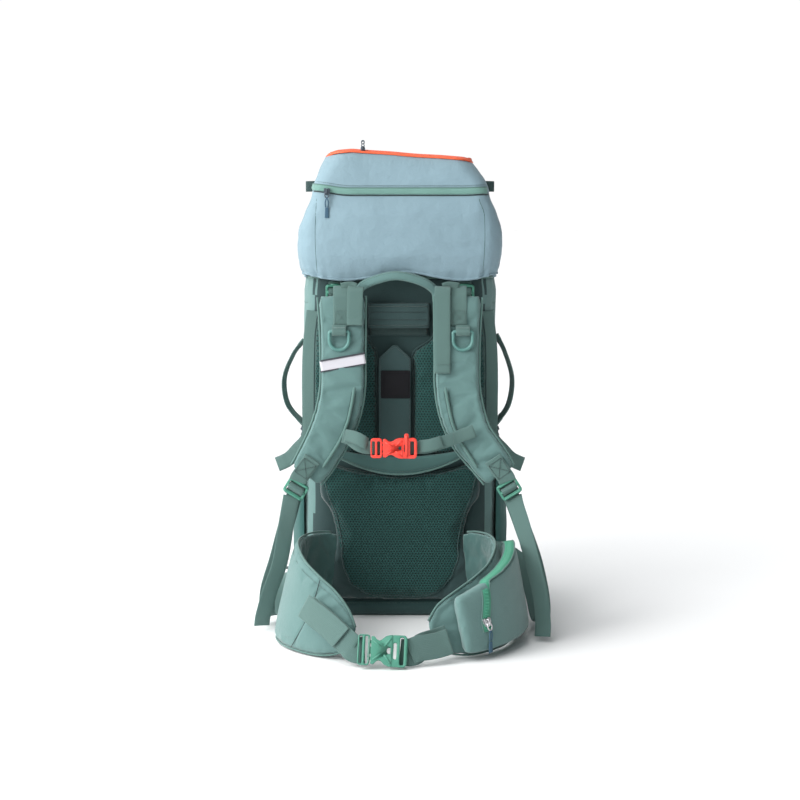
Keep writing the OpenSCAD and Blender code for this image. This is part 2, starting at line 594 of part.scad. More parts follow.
// Frame on the pocket's outer face near its front end: x forward, -y outward, z up
zip_ring = len(pocket_bottom) - 2;
zip_share = 0.66;
zip_fore = tangent(mix(pocket_bottom, pocket_top, 0.5), zip_ring);
zip_up = square_to(pocket_top[zip_ring] - pocket_bottom[zip_ring], zip_fore);
zip_out = unit(cross(zip_up, zip_fore));
zip_at = mix(pocket_bottom[zip_ring], pocket_top[zip_ring], zip_share) + zip_out * (pocket_off + hip_pocket_t + 1.4);
zip_x = cross(-zip_out, zip_up);
module on_hip_zip() multmatrix([
    [zip_x[0], -zip_out[0], zip_up[0], zip_at[0]],
    [zip_x[1], -zip_out[1], zip_up[1], zip_at[1]],
    [zip_x[2], -zip_out[2], zip_up[2], zip_at[2]]]) children();
hip_zip_l = 52;
module hip_zip_track() color(plastic_green) on_hip_zip() rotate([0, 90, 0]) zip_track(hip_zip_l, 9);
module hip_zip_slider() color(silver) on_hip_zip() translate([0, -0.6, -hip_zip_l / 2 + 5]) zip_slider(24);

belt_lean = 20;
belt_dip = 3;
belt_at = [-26, -404, 26];
module at_belt_buckle() translate(belt_at) rotate([0, belt_dip, 0]) rotate([-belt_lean, 0, 0]) children();
module belt_buckle_plug() color(plastic_green) at_belt_buckle() buckle_plug(belt_w, belt_half, belt_thick);
module belt_buckle_socket() color(plastic_green) at_belt_buckle() buckle_socket(belt_w, belt_half, belt_thick);

belt_side = [0, 0.34, 1];
// Point x along the belt buckle and y behind it
function belt_local(x, y) = belt_at + [
    x * cos(belt_dip) - y * sin(belt_lean) * sin(belt_dip),
    y * cos(belt_lean),
    -x * sin(belt_dip) - y * sin(belt_lean) * cos(belt_dip)];
module belt_webbing_left() color(webbing_green)
    ribbon(smooth([[-134, -343, 74], [-122, -355, 64], [-110, -368, 52], belt_local(-74, 12), belt_local(-48, 7.8),
        belt_local(-24, 7.5)], 3), belt_side, belt_w);
module belt_webbing_right() color(webbing_green)
    ribbon(smooth([belt_local(26, 7.5), belt_local(44, 7.5), [34, -388, 29], [54, -376, 32], [70, -370, 36]], 3),
        belt_side, belt_w);

// ---------------------------------------------------------------- nodes

main_bag();
base_panel();
storm_collar();
frame_sheet();
frame_stays();
hydration_sleeve();
back_pads();
lumbar_pad();
lumbar_cover();
torso_ladder();
torso_strap();
torso_patch();
haul_loop();
side_pocket_left();
side_pocket_right();
side_loops();
front_pocket();
front_zip_track();
front_zip_slider();
lid_anchor_webbing();
lid_anchor_buckles();
side_handles();
side_handle_buckles();
stabiliser_straps();
lower_webbing_left();
lower_webbing_right();
lid_shell();
lid_liner();
lid_side_tabs();
lid_rear_zip_track();
lid_top_zip_track();
lid_front_straps();
lid_front_plugs();
lid_front_sockets();
lid_socket_webbing();
lid_rear_zip_slider();
lid_top_zip_slider();
harness_yoke();
shoulder_pad_left();
shoulder_pad_right();
load_lifters();
strap_label();
sternum_rails();
lock_anchors();
shoulder_ladder_locks();
d_ring_keepers();
d_ring_left();
d_ring_right();
sternum_webbing();
sternum_socket();
sternum_plug();
hip_wing_left();
hip_wing_right();
hip_pocket();
hip_zip_track();
hip_zip_slider();
belt_webbing_left();
belt_webbing_right();
belt_buckle_socket();
belt_buckle_plug();
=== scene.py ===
import math

import bmesh
import bpy
from mathutils import Matrix, Vector, kdtree, noise


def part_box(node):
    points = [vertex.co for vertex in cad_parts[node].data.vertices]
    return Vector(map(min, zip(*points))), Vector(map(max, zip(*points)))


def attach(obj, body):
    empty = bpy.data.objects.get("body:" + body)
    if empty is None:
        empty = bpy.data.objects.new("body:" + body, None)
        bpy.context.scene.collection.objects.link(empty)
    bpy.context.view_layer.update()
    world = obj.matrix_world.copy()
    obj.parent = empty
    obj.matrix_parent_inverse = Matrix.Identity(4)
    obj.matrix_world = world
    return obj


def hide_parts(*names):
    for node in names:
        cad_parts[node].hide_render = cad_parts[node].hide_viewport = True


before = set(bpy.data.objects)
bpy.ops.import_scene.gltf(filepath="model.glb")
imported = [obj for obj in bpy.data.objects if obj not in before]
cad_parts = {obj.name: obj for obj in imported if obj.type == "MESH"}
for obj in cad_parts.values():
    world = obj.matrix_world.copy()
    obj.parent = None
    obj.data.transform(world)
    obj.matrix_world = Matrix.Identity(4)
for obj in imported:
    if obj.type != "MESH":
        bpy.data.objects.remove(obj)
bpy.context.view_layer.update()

MM = 0.001
scene = bpy.context.scene

# ---------------------------------------------------------------- camera and studio

camera = bpy.data.objects.new("camera", bpy.data.cameras.new("camera"))
scene.collection.objects.link(camera)
camera.location = (0, -2.8, 0.673)
camera.rotation_euler = (math.radians(90 - 6.8), 0, 0)
camera.data.lens = 77.2
camera.data.sensor_width = 36
scene.camera = camera
scene.view_settings.view_transform = "Standard"


def area_light(name, place, target, size, power, colour=(1, 1, 1)):
    lamp = bpy.data.lights.new(name, "AREA")
    lamp.shape, lamp.size, lamp.energy, lamp.color = "DISK", size, power, colour
    o = bpy.data.objects.new(name, lamp)
    scene.collection.objects.link(o)
    o.location = place
    o.rotation_euler = (Vector(target) - Vector(place)).to_track_quat("-Z", "Y").to_euler()


area_light("key", (-1.35, -1.15, 1.15), (0, 0, 0.42), 0.9, 21)
sun = bpy.data.objects.new("window", bpy.data.lights.new("window", "SUN"))
scene.collection.objects.link(sun)
sun.data.energy, sun.data.angle = 3.1, math.radians(95)
sun.rotation_euler = Vector((0.74, 0.20, -0.74)).to_track_quat("-Z", "Y").to_euler()

world = bpy.data.worlds.new("studio")
scene.world = world
world.use_nodes = True
wn = world.node_tree.nodes
wn.clear()
w_out = wn.new("ShaderNodeOutputWorld")
w_mix = wn.new("ShaderNodeMixShader")
w_seen = wn.new("ShaderNodeBackground")
w_lit = wn.new("ShaderNodeBackground")
w_path = wn.new("ShaderNodeLightPath")
w_seen.inputs[0].default_value = (1, 1, 1, 1)
w_seen.inputs[1].default_value = 1.02
w_lit.inputs[0].default_value = (0.95, 0.98, 1, 1)
wl = world.node_tree.links
# The room is brighter on the left
w_dir, w_xyz, w_side = wn.new("ShaderNodeTexCoord"), wn.new("ShaderNodeSeparateXYZ"), wn.new("ShaderNodeMath")
w_side.operation = "MULTIPLY_ADD"
w_side.inputs[1].default_value, w_side.inputs[2].default_value = -0.46, 0.50
wl.new(w_dir.outputs["Generated"], w_xyz.inputs[0])
wl.new(w_xyz.outputs[0], w_side.inputs[0])
wl.new(w_side.outputs[0], w_lit.inputs[1])
wl.new(w_path.outputs["Is Camera Ray"], w_mix.inputs[0])
wl.new(w_lit.outputs[0], w_mix.inputs[1])
wl.new(w_seen.outputs[0], w_mix.inputs[2])
wl.new(w_mix.outputs[0], w_out.inputs[0])

# ---------------------------------------------------------------- materials


class Nodes:
    """Short hand for building a material's node tree."""

    def __init__(self, name, rough, metallic=0.0, sheen=0.0, specular=0.5, coat=0.0):
        self.mat = bpy.data.materials.new(name)
        self.mat.use_nodes = True
        self.tree = self.mat.node_tree
        self.shader = self.tree.nodes["Principled BSDF"]
        self.shader.inputs["Metallic"].default_value = metallic
        self.shader.inputs["Roughness"].default_value = rough
        self.shader.inputs["Sheen Weight"].default_value = sheen
        self.shader.inputs["Sheen Roughness"].default_value = 0.5
        self.shader.inputs["Specular IOR Level"].default_value = specular
        self.shader.inputs["Coat Weight"].default_value = coat
        coords = self.tree.nodes.new("ShaderNodeTexCoord")
        self.object, self.normal, self.uv = coords.outputs["Object"], coords.outputs["Normal"], coords.outputs["UV"]

    def link(self, value, socket):
        if isinstance(value, bpy.types.NodeSocket):
            self.tree.links.new(value, socket)
        elif value is not None:
            socket.default_value = value

    def math(self, op, a, b=None, c=None, clamp=False):
        n = self.tree.nodes.new("ShaderNodeMath")
        n.operation, n.use_clamp = op, clamp
        for value, socket in zip((a, b, c), n.inputs):
            self.link(value, socket)
        return n.outputs[0]

    def split(self, vector):
        n = self.tree.nodes.new("ShaderNodeSeparateXYZ")
        self.link(vector, n.inputs[0])
        return n.outputs

    def noise(self, scale, detail=3.0, vector=None, stretch=None, rough=0.55):
        n = self.tree.nodes.new("ShaderNodeTexNoise")
        n.inputs["Scale"].default_value = scale
        n.inputs["Detail"].default_value = detail
        n.inputs["Roughness"].default_value = rough
        source = vector or self.object
        if stretch:
            m = self.tree.nodes.new("ShaderNodeMapping")
            m.inputs["Scale"].default_value = stretch
            self.link(source, m.inputs["Vector"])
            source = m.outputs[0]
        self.link(source, n.inputs["Vector"])
        return n.outputs["Fac"]

    def plane(self):
        """Two coordinates that lie along the surface, picked by which way it faces."""
        x, y, z = self.split(self.object)
        nx, ny, nz = (self.math("ABSOLUTE", s) for s in self.split(self.normal))
        sideways = self.math("GREATER_THAN", nx, self.math("MAXIMUM", ny, nz))
        upward = self.math("GREATER_THAN", nz, self.math("MAXIMUM", nx, ny))
        u = self.math("MULTIPLY_ADD", sideways, self.math("SUBTRACT", y, x), x)
        v = self.math("MULTIPLY_ADD", upward, self.math("SUBTRACT", y, z), z)
        return u, v

    def wave(self, coordinate, pitch, phase=0.0):
        """Sine of a coordinate in metres, with that pitch in metres."""
        return self.math("SINE", self.math("MULTIPLY_ADD", coordinate, 2 * math.pi / pitch, phase))

    def shades(self, colour, amount, factor):
        """Colour that runs from darker to lighter by the amount as the factor runs from 0 to 1."""
        n = self.tree.nodes.new("ShaderNodeMix")
        n.data_type = "RGBA"
        low = [max(0, c * (1 - amount)) for c in colour] + [1]
        high = [min(1, c * (1 + amount)) for c in colour] + [1]
        self.link(factor, n.inputs["Factor"])
        n.inputs["A"].default_value, n.inputs["B"].default_value = low, high
        return n.outputs["Result"]

    def blend(self, factor, a, b):
        n = self.tree.nodes.new("ShaderNodeMix")
        n.data_type = "RGBA"
        self.link(factor, n.inputs["Factor"])
        self.link(a if isinstance(a, bpy.types.NodeSocket) else [*a, 1], n.inputs["A"])
        self.link(b if isinstance(b, bpy.types.NodeSocket) else [*b, 1], n.inputs["B"])
        return n.outputs["Result"]

    def done(self, colour, height=None, depth=0.2, strength=1.0, rough=None):
        """Depth is the height's full relief in millimetres."""
        self.link(colour, self.shader.inputs["Base Color"])
        if rough is not None:
            self.link(rough, self.shader.inputs["Roughness"])
        if height is not None:
            b = self.tree.nodes.new("ShaderNodeBump")
            b.inputs["Strength"].default_value = strength
            b.inputs["Distance"].default_value = depth * MM
            self.link(height, b.inputs["Height"])
            self.tree.links.new(b.outputs[0], self.shader.inputs["Normal"])
        return self.mat


def cloth(name, colour, pitch=1.1, relief=0.22, mottle=0.10, rough=0.82, sheen=0.25, folds=0.9):
    """Woven nylon: crossing threads, faint slubs, soft creases and slow changes of shade."""
    m = Nodes(name, rough, sheen=sheen, specular=0.3)
    u, v = m.plane()
    over = m.math("MULTIPLY", m.wave(u, pitch * MM), m.wave(v, pitch * MM))
    slub = m.noise(900, 2, stretch=(1, 1, 0.15))
    broad, cloudy = m.noise(11, 4), m.noise(60, 3)
    weave = m.math("MULTIPLY_ADD", over, 0.35, m.math("MULTIPLY", slub, 0.5))
    height = m.math("ADD", m.math("MULTIPLY", weave, relief), m.math("MULTIPLY", cloudy, folds))
    mixed = m.math("MULTIPLY_ADD", broad, 0.6, m.math("MULTIPLY_ADD", weave, 0.45, 0.05), clamp=True)
    roughness = m.math("MULTIPLY_ADD", cloudy, 0.12, rough - 0.06)
    return m.done(m.shades(colour, mottle, mixed), height, 1.0, 0.75, roughness)


def spacer_mesh(name, colour, pitch=4.6):
    """Knitted spacer fabric with staggered round openings."""
    m = Nodes(name, 0.9, sheen=0.15, specular=0.2)
    u, v = m.plane()
    k = 4 * math.pi / (math.sqrt(3) * pitch * MM)
    along = m.math("COSINE", m.math("MULTIPLY", v, k))
    half = m.math("COSINE", m.math("MULTIPLY", v, k / 2))
    cross = m.math("COSINE", m.math("MULTIPLY", u, k * math.sqrt(3) / 2))
    peaks = m.math("MULTIPLY_ADD", m.math("MULTIPLY", half, cross), 2, along)
    hole = m.math("MULTIPLY_ADD", peaks, 0.55, 0.15, clamp=True)
    yarn = m.noise(1600, 2)
    rib = m.math("SUBTRACT", 1.0, hole)
    height = m.math("MULTIPLY_ADD", yarn, 0.2, rib)
    broad = m.noise(9, 3)
    # Painted light and shade: the yarn is drawn a quarter lighter than the colour given, and the openings 0.4 times
    # as dark, painted shade in the holes
    lit = m.shades([c * 1.25 for c in colour], 0.18,
            m.math("MULTIPLY_ADD", yarn, 0.5, m.math("MULTIPLY", broad, 0.5)))
    return m.done(m.blend(hole, lit, [c * 0.4 for c in colour]), height, 1.1, 0.9)


def webbing_mat(name, colour, ribs=15, relief=0.35):
    """Flat woven strap: ribs along it, fine picks across it, darker selvages. UV runs (metres along, -1 to 1
    across)."""
    m = Nodes(name, 0.78, sheen=0.2, specular=0.3)
    u, v, _ = m.split(m.uv)
    across = m.math("SINE", m.math("MULTIPLY", v, math.pi * ribs))
    slant = m.math("MULTIPLY_ADD", m.math("ABSOLUTE", across), 0.9 * MM, u)
    picks = m.wave(slant, 1.5 * MM)
    weave = m.math("MULTIPLY_ADD", picks, 0.3, m.math("MULTIPLY_ADD", across, 0.2, 0.5))
    selvage = m.math("GREATER_THAN", m.math("ABSOLUTE", v), 0.9)
    fuzz, broad = m.noise(1300, 2), m.noise(14, 3)
    shade = m.math("MULTIPLY_ADD", weave, 0.4, m.math("MULTIPLY_ADD", fuzz, 0.25, m.math("MULTIPLY", broad, 0.45)))
    shade = m.math("MULTIPLY_ADD", selvage, -0.1, shade, clamp=True)
    height = m.math("MULTIPLY_ADD", fuzz, 0.25, weave)
    return m.done(m.shades(colour, 0.16, shade), height, relief, 0.9)


def plastic(name, colour, rough=0.38, mottle=0.05, specular=0.5):
    """Moulded plastic: fine spark texture, faint flow marks, a few scattered worn streaks."""
    m = Nodes(name, rough, specular=specular)
    grain, flow = m.noise(2600, 2), m.noise(35, 3)
    scuff = m.math("MULTIPLY", m.math("GREATER_THAN", m.noise(420, 2, stretch=(1, 1, 4)), 0.66), 0.5)
    shade = m.math("MULTIPLY_ADD", flow, 0.6, m.math("MULTIPLY_ADD", grain, 0.3, scuff), clamp=True)
    roughness = m.math("MULTIPLY_ADD", grain, 0.16, m.math("MULTIPLY_ADD", scuff, 0.18, rough - 0.06))
    return m.done(m.shades(colour, mottle, shade), grain, 0.05, 0.5, roughness)


def metal(name, colour, rough=0.3, along=(1, 1, 30)):
    m = Nodes(name, rough, metallic=1.0)
    brushed, dirt = m.noise(500, 3, stretch=along), m.noise(60, 4)
    roughness = m.math("MULTIPLY_ADD", brushed, 0.22, m.math("MULTIPLY_ADD", dirt, 0.15, rough - 0.15))
    return m.done(m.shades(colour, 0.12, dirt), brushed, 0.03, 0.4, roughness)


def zip_coil(name, colour):
    """Zip tape: coil teeth along the middle. UV runs (metres along, -1 to 1 across)."""
    m = Nodes(name, 0.6, sheen=0.1, specular=0.4)
    u, v, _ = m.split(m.uv)
    middle = m.math("LESS_THAN", m.math("ABSOLUTE", v), 0.4)
    teeth = m.math("MULTIPLY", m.math("MULTIPLY_ADD", m.wave(u, 1.8 * MM), 0.5, 0.5), middle)
    tape = m.math("MULTIPLY_ADD", m.wave(u, 0.9 * MM), 0.12, m.noise(900, 2))
    height = m.math("ADD", teeth, m.math("MULTIPLY", tape, 0.3))
    shade = m.math("MULTIPLY_ADD", teeth, 0.7, m.math("MULTIPLY", tape, 0.4), clamp=True)
    return m.done(m.shades(colour, 0.22, shade), height, 0.6, 0.9)


LID = cloth("lid_cloth", (0.203, 0.302, 0.350), pitch=0.9, relief=0.12, mottle=0.07, rough=0.62, sheen=0.12,
        folds=1.9)
LID_INNER = cloth("lid_lining", (0.234, 0.359, 0.406), rough=0.7)
BAG = cloth("pack_cloth", (0.118, 0.215, 0.204), pitch=1.2, folds=1.4)
BAG_DARK = cloth("base_cloth", (0.022, 0.060, 0.058), pitch=1.6, relief=0.35)
LINING = cloth("lining_cloth", (0.055, 0.120, 0.115), pitch=1.0, rough=0.7)
PAD = cloth("pad_cloth", (0.108, 0.203, 0.193), pitch=1.0, relief=0.2, folds=1.3)
PAD_SHADE = cloth("pad_gusset", (0.049, 0.115, 0.107), pitch=1.0)
PANEL = cloth("panel_cloth", (0.024, 0.053, 0.053), pitch=1.2, relief=0.3)
MESH = spacer_mesh("back_mesh", (0.014, 0.055, 0.050))
MESH_LIGHT = spacer_mesh("pad_mesh", (0.045, 0.12, 0.11), pitch=3.6)
STRETCH = cloth("stretch_cloth", (0.030, 0.110, 0.100), pitch=1.8, relief=0.4, sheen=0.35)
WEB = webbing_mat("strap_weave", (0.092, 0.168, 0.153))
WEB_DARK = webbing_mat("dark_strap_weave", (0.040, 0.075, 0.072))
PIPING = cloth("piping", (0.090, 0.176, 0.158), pitch=0.8, relief=0.15, folds=0.2)
PIPING_DARK = cloth("dark_piping", (0.026, 0.060, 0.058), pitch=0.8, relief=0.15, folds=0.2)
THREAD = cloth("thread", (0.070, 0.130, 0.119), pitch=0.5, relief=0.3, folds=0.1)
THREAD_DARK = cloth("dark_thread", (0.018, 0.035, 0.035), pitch=0.5, relief=0.3, folds=0.1)
GREEN = plastic("green_plastic", (0.070, 0.260, 0.185))
RING = plastic("ring_plastic", (0.085, 0.215, 0.195))
RED = plastic("red_plastic", (0.840, 0.055, 0.035), rough=0.34)
ORANGE = zip_coil("orange_zip", (0.860, 0.110, 0.035))
ORANGE_ROLL = plastic("orange_piping", (0.810, 0.120, 0.041), rough=0.45, mottle=0.1)
ZIP_GREEN = zip_coil("green_zip", (0.060, 0.300, 0.190))
WELT = cloth("zip_welt", (0.143, 0.280, 0.244), pitch=0.8, relief=0.25, folds=0.3)
NAVY = plastic("dark_slider", (0.045, 0.065, 0.085), rough=0.42, mottle=0.2)
SILVER = metal("slider_steel", (0.62, 0.61, 0.63))
BLUE = plastic("pull_cord", (0.030, 0.085, 0.135), rough=0.6, mottle=0.2)
LABEL = cloth("blank_label", (0.55, 0.54, 0.58), pitch=0.6, relief=0.1, folds=0.2, mottle=0.04)
LABEL_EDGE = cloth("label_edge", (0.045, 0.050, 0.060), pitch=0.6, relief=0.1, folds=0.2)
PATCH = plastic("rubber_patch", (0.006, 0.006, 0.008), rough=0.7, mottle=0.4, specular=0.2)
SHEET = plastic("frame_plastic", (0.72, 0.72, 0.69), rough=0.5)
ALLOY = metal("stay_alloy", (0.7, 0.71, 0.72))

# ---------------------------------------------------------------- shapes


def catmull(points, n):
    """Smooth curve through the control points, n points to a span; every number of a point is carried along."""
    out = []
    last = len(points) - 1
    for i in range(last):
        four = [points[min(max(k, 0), last)] for k in (i - 1, i, i + 1, i + 2)]
        for j in range(n):
            t = j / n
            out.append([0.5 * (2 * b + (c - a) * t + (2 * a - 5 * b + 4 * c - d) * t * t + (3 * b - a - 3 * c + d) * t ** 3)
                        for a, b, c, d in zip(*four)])
    return out + [list(points[-1])]


def vectors(points):
    return [Vector(p[:3]) for p in points]


def flipped(points):
    return [[-p[0], *p[1:]] for p in points]


def smoothstep(a, b, x):
    t = min(1.0, max(0.0, (x - a) / (b - a)))
    return t * t * (3 - 2 * t)


def bumpy(p, size, seed=0.0):
    """Smooth noise from -1 to 1 at about that size in millimetres."""
    return noise.noise(Vector((p[0] / size + seed, p[1] / size - seed, p[2] / size + 2 * seed)))


def frames(path, side):
    """(point, tangent, side, normal) along a path; side is a direction, or a function of the share of the way
    along."""
    out = []
    for i, p in enumerate(path):
        t = (path[min(i + 1, len(path) - 1)] - path[max(i - 1, 0)]).normalized()
        s = Vector(side(i / (len(path) - 1)) if callable(side) else side)
        s = (s - t * s.dot(t)).normalized()
        out.append((p, t, s, t.cross(s)))
    return out


class Shape:
    """Vertices in millimetres, faces, UVs and material slots, gathered into one mesh piece."""

    def __init__(self):
        self.verts, self.faces, self.uvs, self.mats = [], [], [], []

    def loft(self, rings, closed=True, caps=True, mat=0, uv=None, wrap=False):
        """Skin over rings; closed joins each ring's ends, wrap joins the last ring to the first."""
        start, m = len(self.verts), len(rings[0])
        for i, ring in enumerate(rings):
            for j, p in enumerate(ring):
                self.verts.append(Vector(p))
                self.uvs.append(uv(i, j) if uv else (0.0, 0.0))
        rows = len(rings) if wrap else len(rings) - 1
        for i in range(rows):
            for j in range(m if closed else m - 1):
                a, b = start + i * m + j, start + i * m + (j + 1) % m
                k = (i + 1) % len(rings) - i
                self.faces.append((a, b, b + k * m, a + k * m))
                self.mats.append(mat)
        if caps and not wrap and closed:
            for base, turn in ((start, True), (start + (len(rings) - 1) * m, False)):
                face = list(range(base, base + m))
                self.faces.append(tuple(reversed(face)) if turn else tuple(face))
                self.mats.append(mat)
        return self

    def rod(self, path, r, sides=8, mat=0, wrap=False):
        """Round rod; r is a radius or a function of the share of the way along."""
        path = [Vector(p) for p in path]
        n = len(path)
        rings, s = [], None
        for i, p in enumerate(path):
            ahead, behind = (path[(i + 1) % n], path[i - 1]) if wrap else (path[min(i + 1, n - 1)],
                    path[max(i - 1, 0)])
            t = (ahead - behind).normalized()
            if s is None:
                s = t.orthogonal()
            s = (s - t * s.dot(t)).normalized()
            q = t.cross(s)
            radius = r(i / (n - 1)) if callable(r) else r
            rings.append([p + radius * (math.cos(a) * s + math.sin(a) * q)
                          for a in (2 * math.pi * k / sides for k in range(sides))])
        return self.loft(rings, mat=mat, wrap=wrap, uv=lambda i, j: (i * 2 * MM, j / sides * 2 - 1))

    def strap(self, path, side, w, t=1.6, mat=0, hem=0.0, hem_start=0.0, soft=0.0):
        """Flat webbing with rounded selvages; hem is how much of an end is folded double, in millimetres."""
        path = [Vector(p) for p in path]
        length = [0.0]
        for a, b in zip(path, path[1:]):
            length.append(length[-1] + (b - a).length)
        half = [(-1, 0), (-0.985, 0.7), (-0.93, 1), (-0.5, 1.04), (0, 1.06), (0.5, 1.04), (0.93, 1), (0.985, 0.7),
                (1, 0)]
        section = half + [(u, -h) for u, h in reversed(half[1:-1])]
        rings = []
        for i, (p, tan, s, n) in enumerate(frames(path, side)):
            far = length[-1] - length[i]
            double = 1 + 0.9 * (1 - smoothstep(hem - 1.5, hem + 1.5, far) if hem else 0) \
                + 0.9 * (1 - smoothstep(hem_start - 1.5, hem_start + 1.5, length[i]) if hem_start else 0)
            wave = soft * bumpy(p, 30)
            width = w(i / (len(path) - 1)) if callable(w) else w
            rings.append([p + s * (u * width / 2) + n * (h * t / 2 * double + wave * (1 - abs(u) * 0.4))
                    for u, h in section])
        return self.loft(rings, mat=mat, uv=lambda i, j: (length[i] * MM, section[j][0]))

    def add(self, other_verts, other_faces, mat=0):
        start = len(self.verts)
        self.verts += [Vector(v) for v in other_verts]
        self.uvs += [(0.0, 0.0)] * len(other_verts)
        self.faces += [tuple(start + k for k in f) for f in other_faces]
        self.mats += [mat] * len(other_faces)
        return self

    def piece(self, name, materials, body, nodes=(), slot=None, flat=False):
        mesh = bpy.data.meshes.new(name)
        mesh.from_pydata([v * MM for v in self.verts], [], self.faces)
        layer = mesh.uv_layers.new(name="UVMap")
        for loop in mesh.loops:
            layer.data[loop.index].uv = self.uvs[loop.vertex_index]
        for p, k in zip(mesh.polygons, self.mats):
            p.use_smooth, p.material_index = not flat, k
        for m in materials if isinstance(materials, (list, tuple)) else [materials]:
            mesh.materials.append(m)
        bm = bmesh.new()
        bm.from_mesh(mesh)
        bmesh.ops.recalc_face_normals(bm, faces=bm.faces)
        bm.to_mesh(mesh)
        bm.free()
        o = bpy.data.objects.new(name, mesh)
        scene.collection.objects.link(o)
        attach(o, body)
        if nodes:
            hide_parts(*([nodes] if isinstance(nodes, str) else nodes))
        return o


stitches = {}


def stitch(body, points, normal, pitch=3.4, dark=False):
    """A row of stitches along a line of points on a surface; normal is a direction or one for each point."""
    points = [Vector(p) for p in points]
    shape = stitches.setdefault((body, dark), Shape())
    run, want, places = 0.0, pitch / 2, []
    for i, (a, b) in enumerate(zip(points, points[1:])):
        d = (b - a).length
        while want <= run + d and d > 0:
            n = Vector(normal[i] if isinstance(normal, list) else normal).normalized()
            places.append((a.lerp(b, (want - run) / d), (b - a).normalized(), n))
            want += pitch
        run += d
    for p, t, n in places:
        half = t * pitch * 0.36
        shape.rod([p - half - n * 0.25, p - half * 0.6 + n * 0.22, p + half * 0.6 + n * 0.22, p + half - n * 0.25],
                0.32, 5)


def box_stitch(body, centre, s, t, n, w, h, cross=True, dark=True):
    """Sewn rectangle with a cross in it."""
    c, s, t, n = Vector(centre), Vector(s).normalized(), Vector(t).normalized(), Vector(n).normalized()
    corner = [c + s * (a * w / 2) + t * (b * h / 2) for a, b in ((-1, -1), (1, -1), (1, 1), (-1, 1))]
    for a, b in zip(corner, corner[1:] + corner[:1]):
        stitch(body, [a, b], n, 2.6, dark)
    if cross:
        stitch(body, [corner[0], corner[2]], n, 2.6, dark)
        stitch(body, [corner[1], corner[3]], n, 2.6, dark)


def superellipse(c, s, n, w, t, count=24, pw=0.5, pt=0.8):
    """Closed section round c: w wide along s and t thick along n."""
    ring = []
    for k in range(count):
        a = 2 * math.pi * (k + 0.5) / count
        x, y = math.cos(a), math.sin(a)
        ring.append(c + s * (w / 2 * math.copysign(abs(x) ** pw, x)) + n * (t / 2 * math.copysign(abs(y) ** pt, y)))
    return ring


def plate(splines, half_thick, bevel, matrix=Matrix.Identity(4), segments=3):
    """Vertices and faces, in millimetres, of a flat plate with rounded edges. The first outline is its edge
    and the rest are holes."""
    curve = bpy.data.curves.new("plate", "CURVE")
    curve.dimensions, curve.fill_mode = "2D", "BOTH"
    curve.extrude, curve.bevel_depth, curve.bevel_resolution = half_thick - bevel, bevel, segments
    curve.offset = -bevel
    for outline in splines:
        sp = curve.splines.new("POLY")
        sp.points.add(len(outline) - 1)
        for k, p in enumerate(outline):
            sp.points[k].co = (p[0], p[1], 0, 1)
        sp.use_cyclic_u = True
    o = bpy.data.objects.new("plate", curve)
    scene.collection.objects.link(o)
    mesh = bpy.data.meshes.new_from_object(o.evaluated_get(bpy.context.evaluated_depsgraph_get()))
    bm = bmesh.new()
    bm.from_mesh(mesh)
    bmesh.ops.remove_doubles(bm, verts=bm.verts, dist=0.01)
    verts = [matrix @ v.co for v in bm.verts]
    faces = [tuple(v.index for v in f.verts) for f in bm.faces]
    bm.free()
    bpy.data.objects.remove(o)
    bpy.data.curves.remove(curve)
    bpy.data.meshes.remove(mesh)
    return verts, faces


def round_box(w, h, r, centre=(0, 0), steps=6):
    """Outline of a rectangle with rounded corners."""
    r = min(r, w / 2 - 0.01, h / 2 - 0.01)
    return [(centre[0] + sx * (w / 2 - r) + r * math.cos(math.radians(a0 + 90 * k / steps)),
             centre[1] + sy * (h / 2 - r) + r * math.sin(math.radians(a0 + 90 * k / steps)))
            for sx, sy, a0 in ((1, 1, 0), (-1, 1, 90), (-1, -1, 180), (1, -1, 270)) for k in range(steps + 1)]


def axes(x, y, z, at):
    """Matrix that takes local x, y and z to these directions, in millimetres."""
    return Matrix([[*row, c] for row, c in zip(zip(x, y, z), at)] + [[0, 0, 0, 1]])


def mesh_points(o):
    return [v.co / MM for v in o.data.vertices]


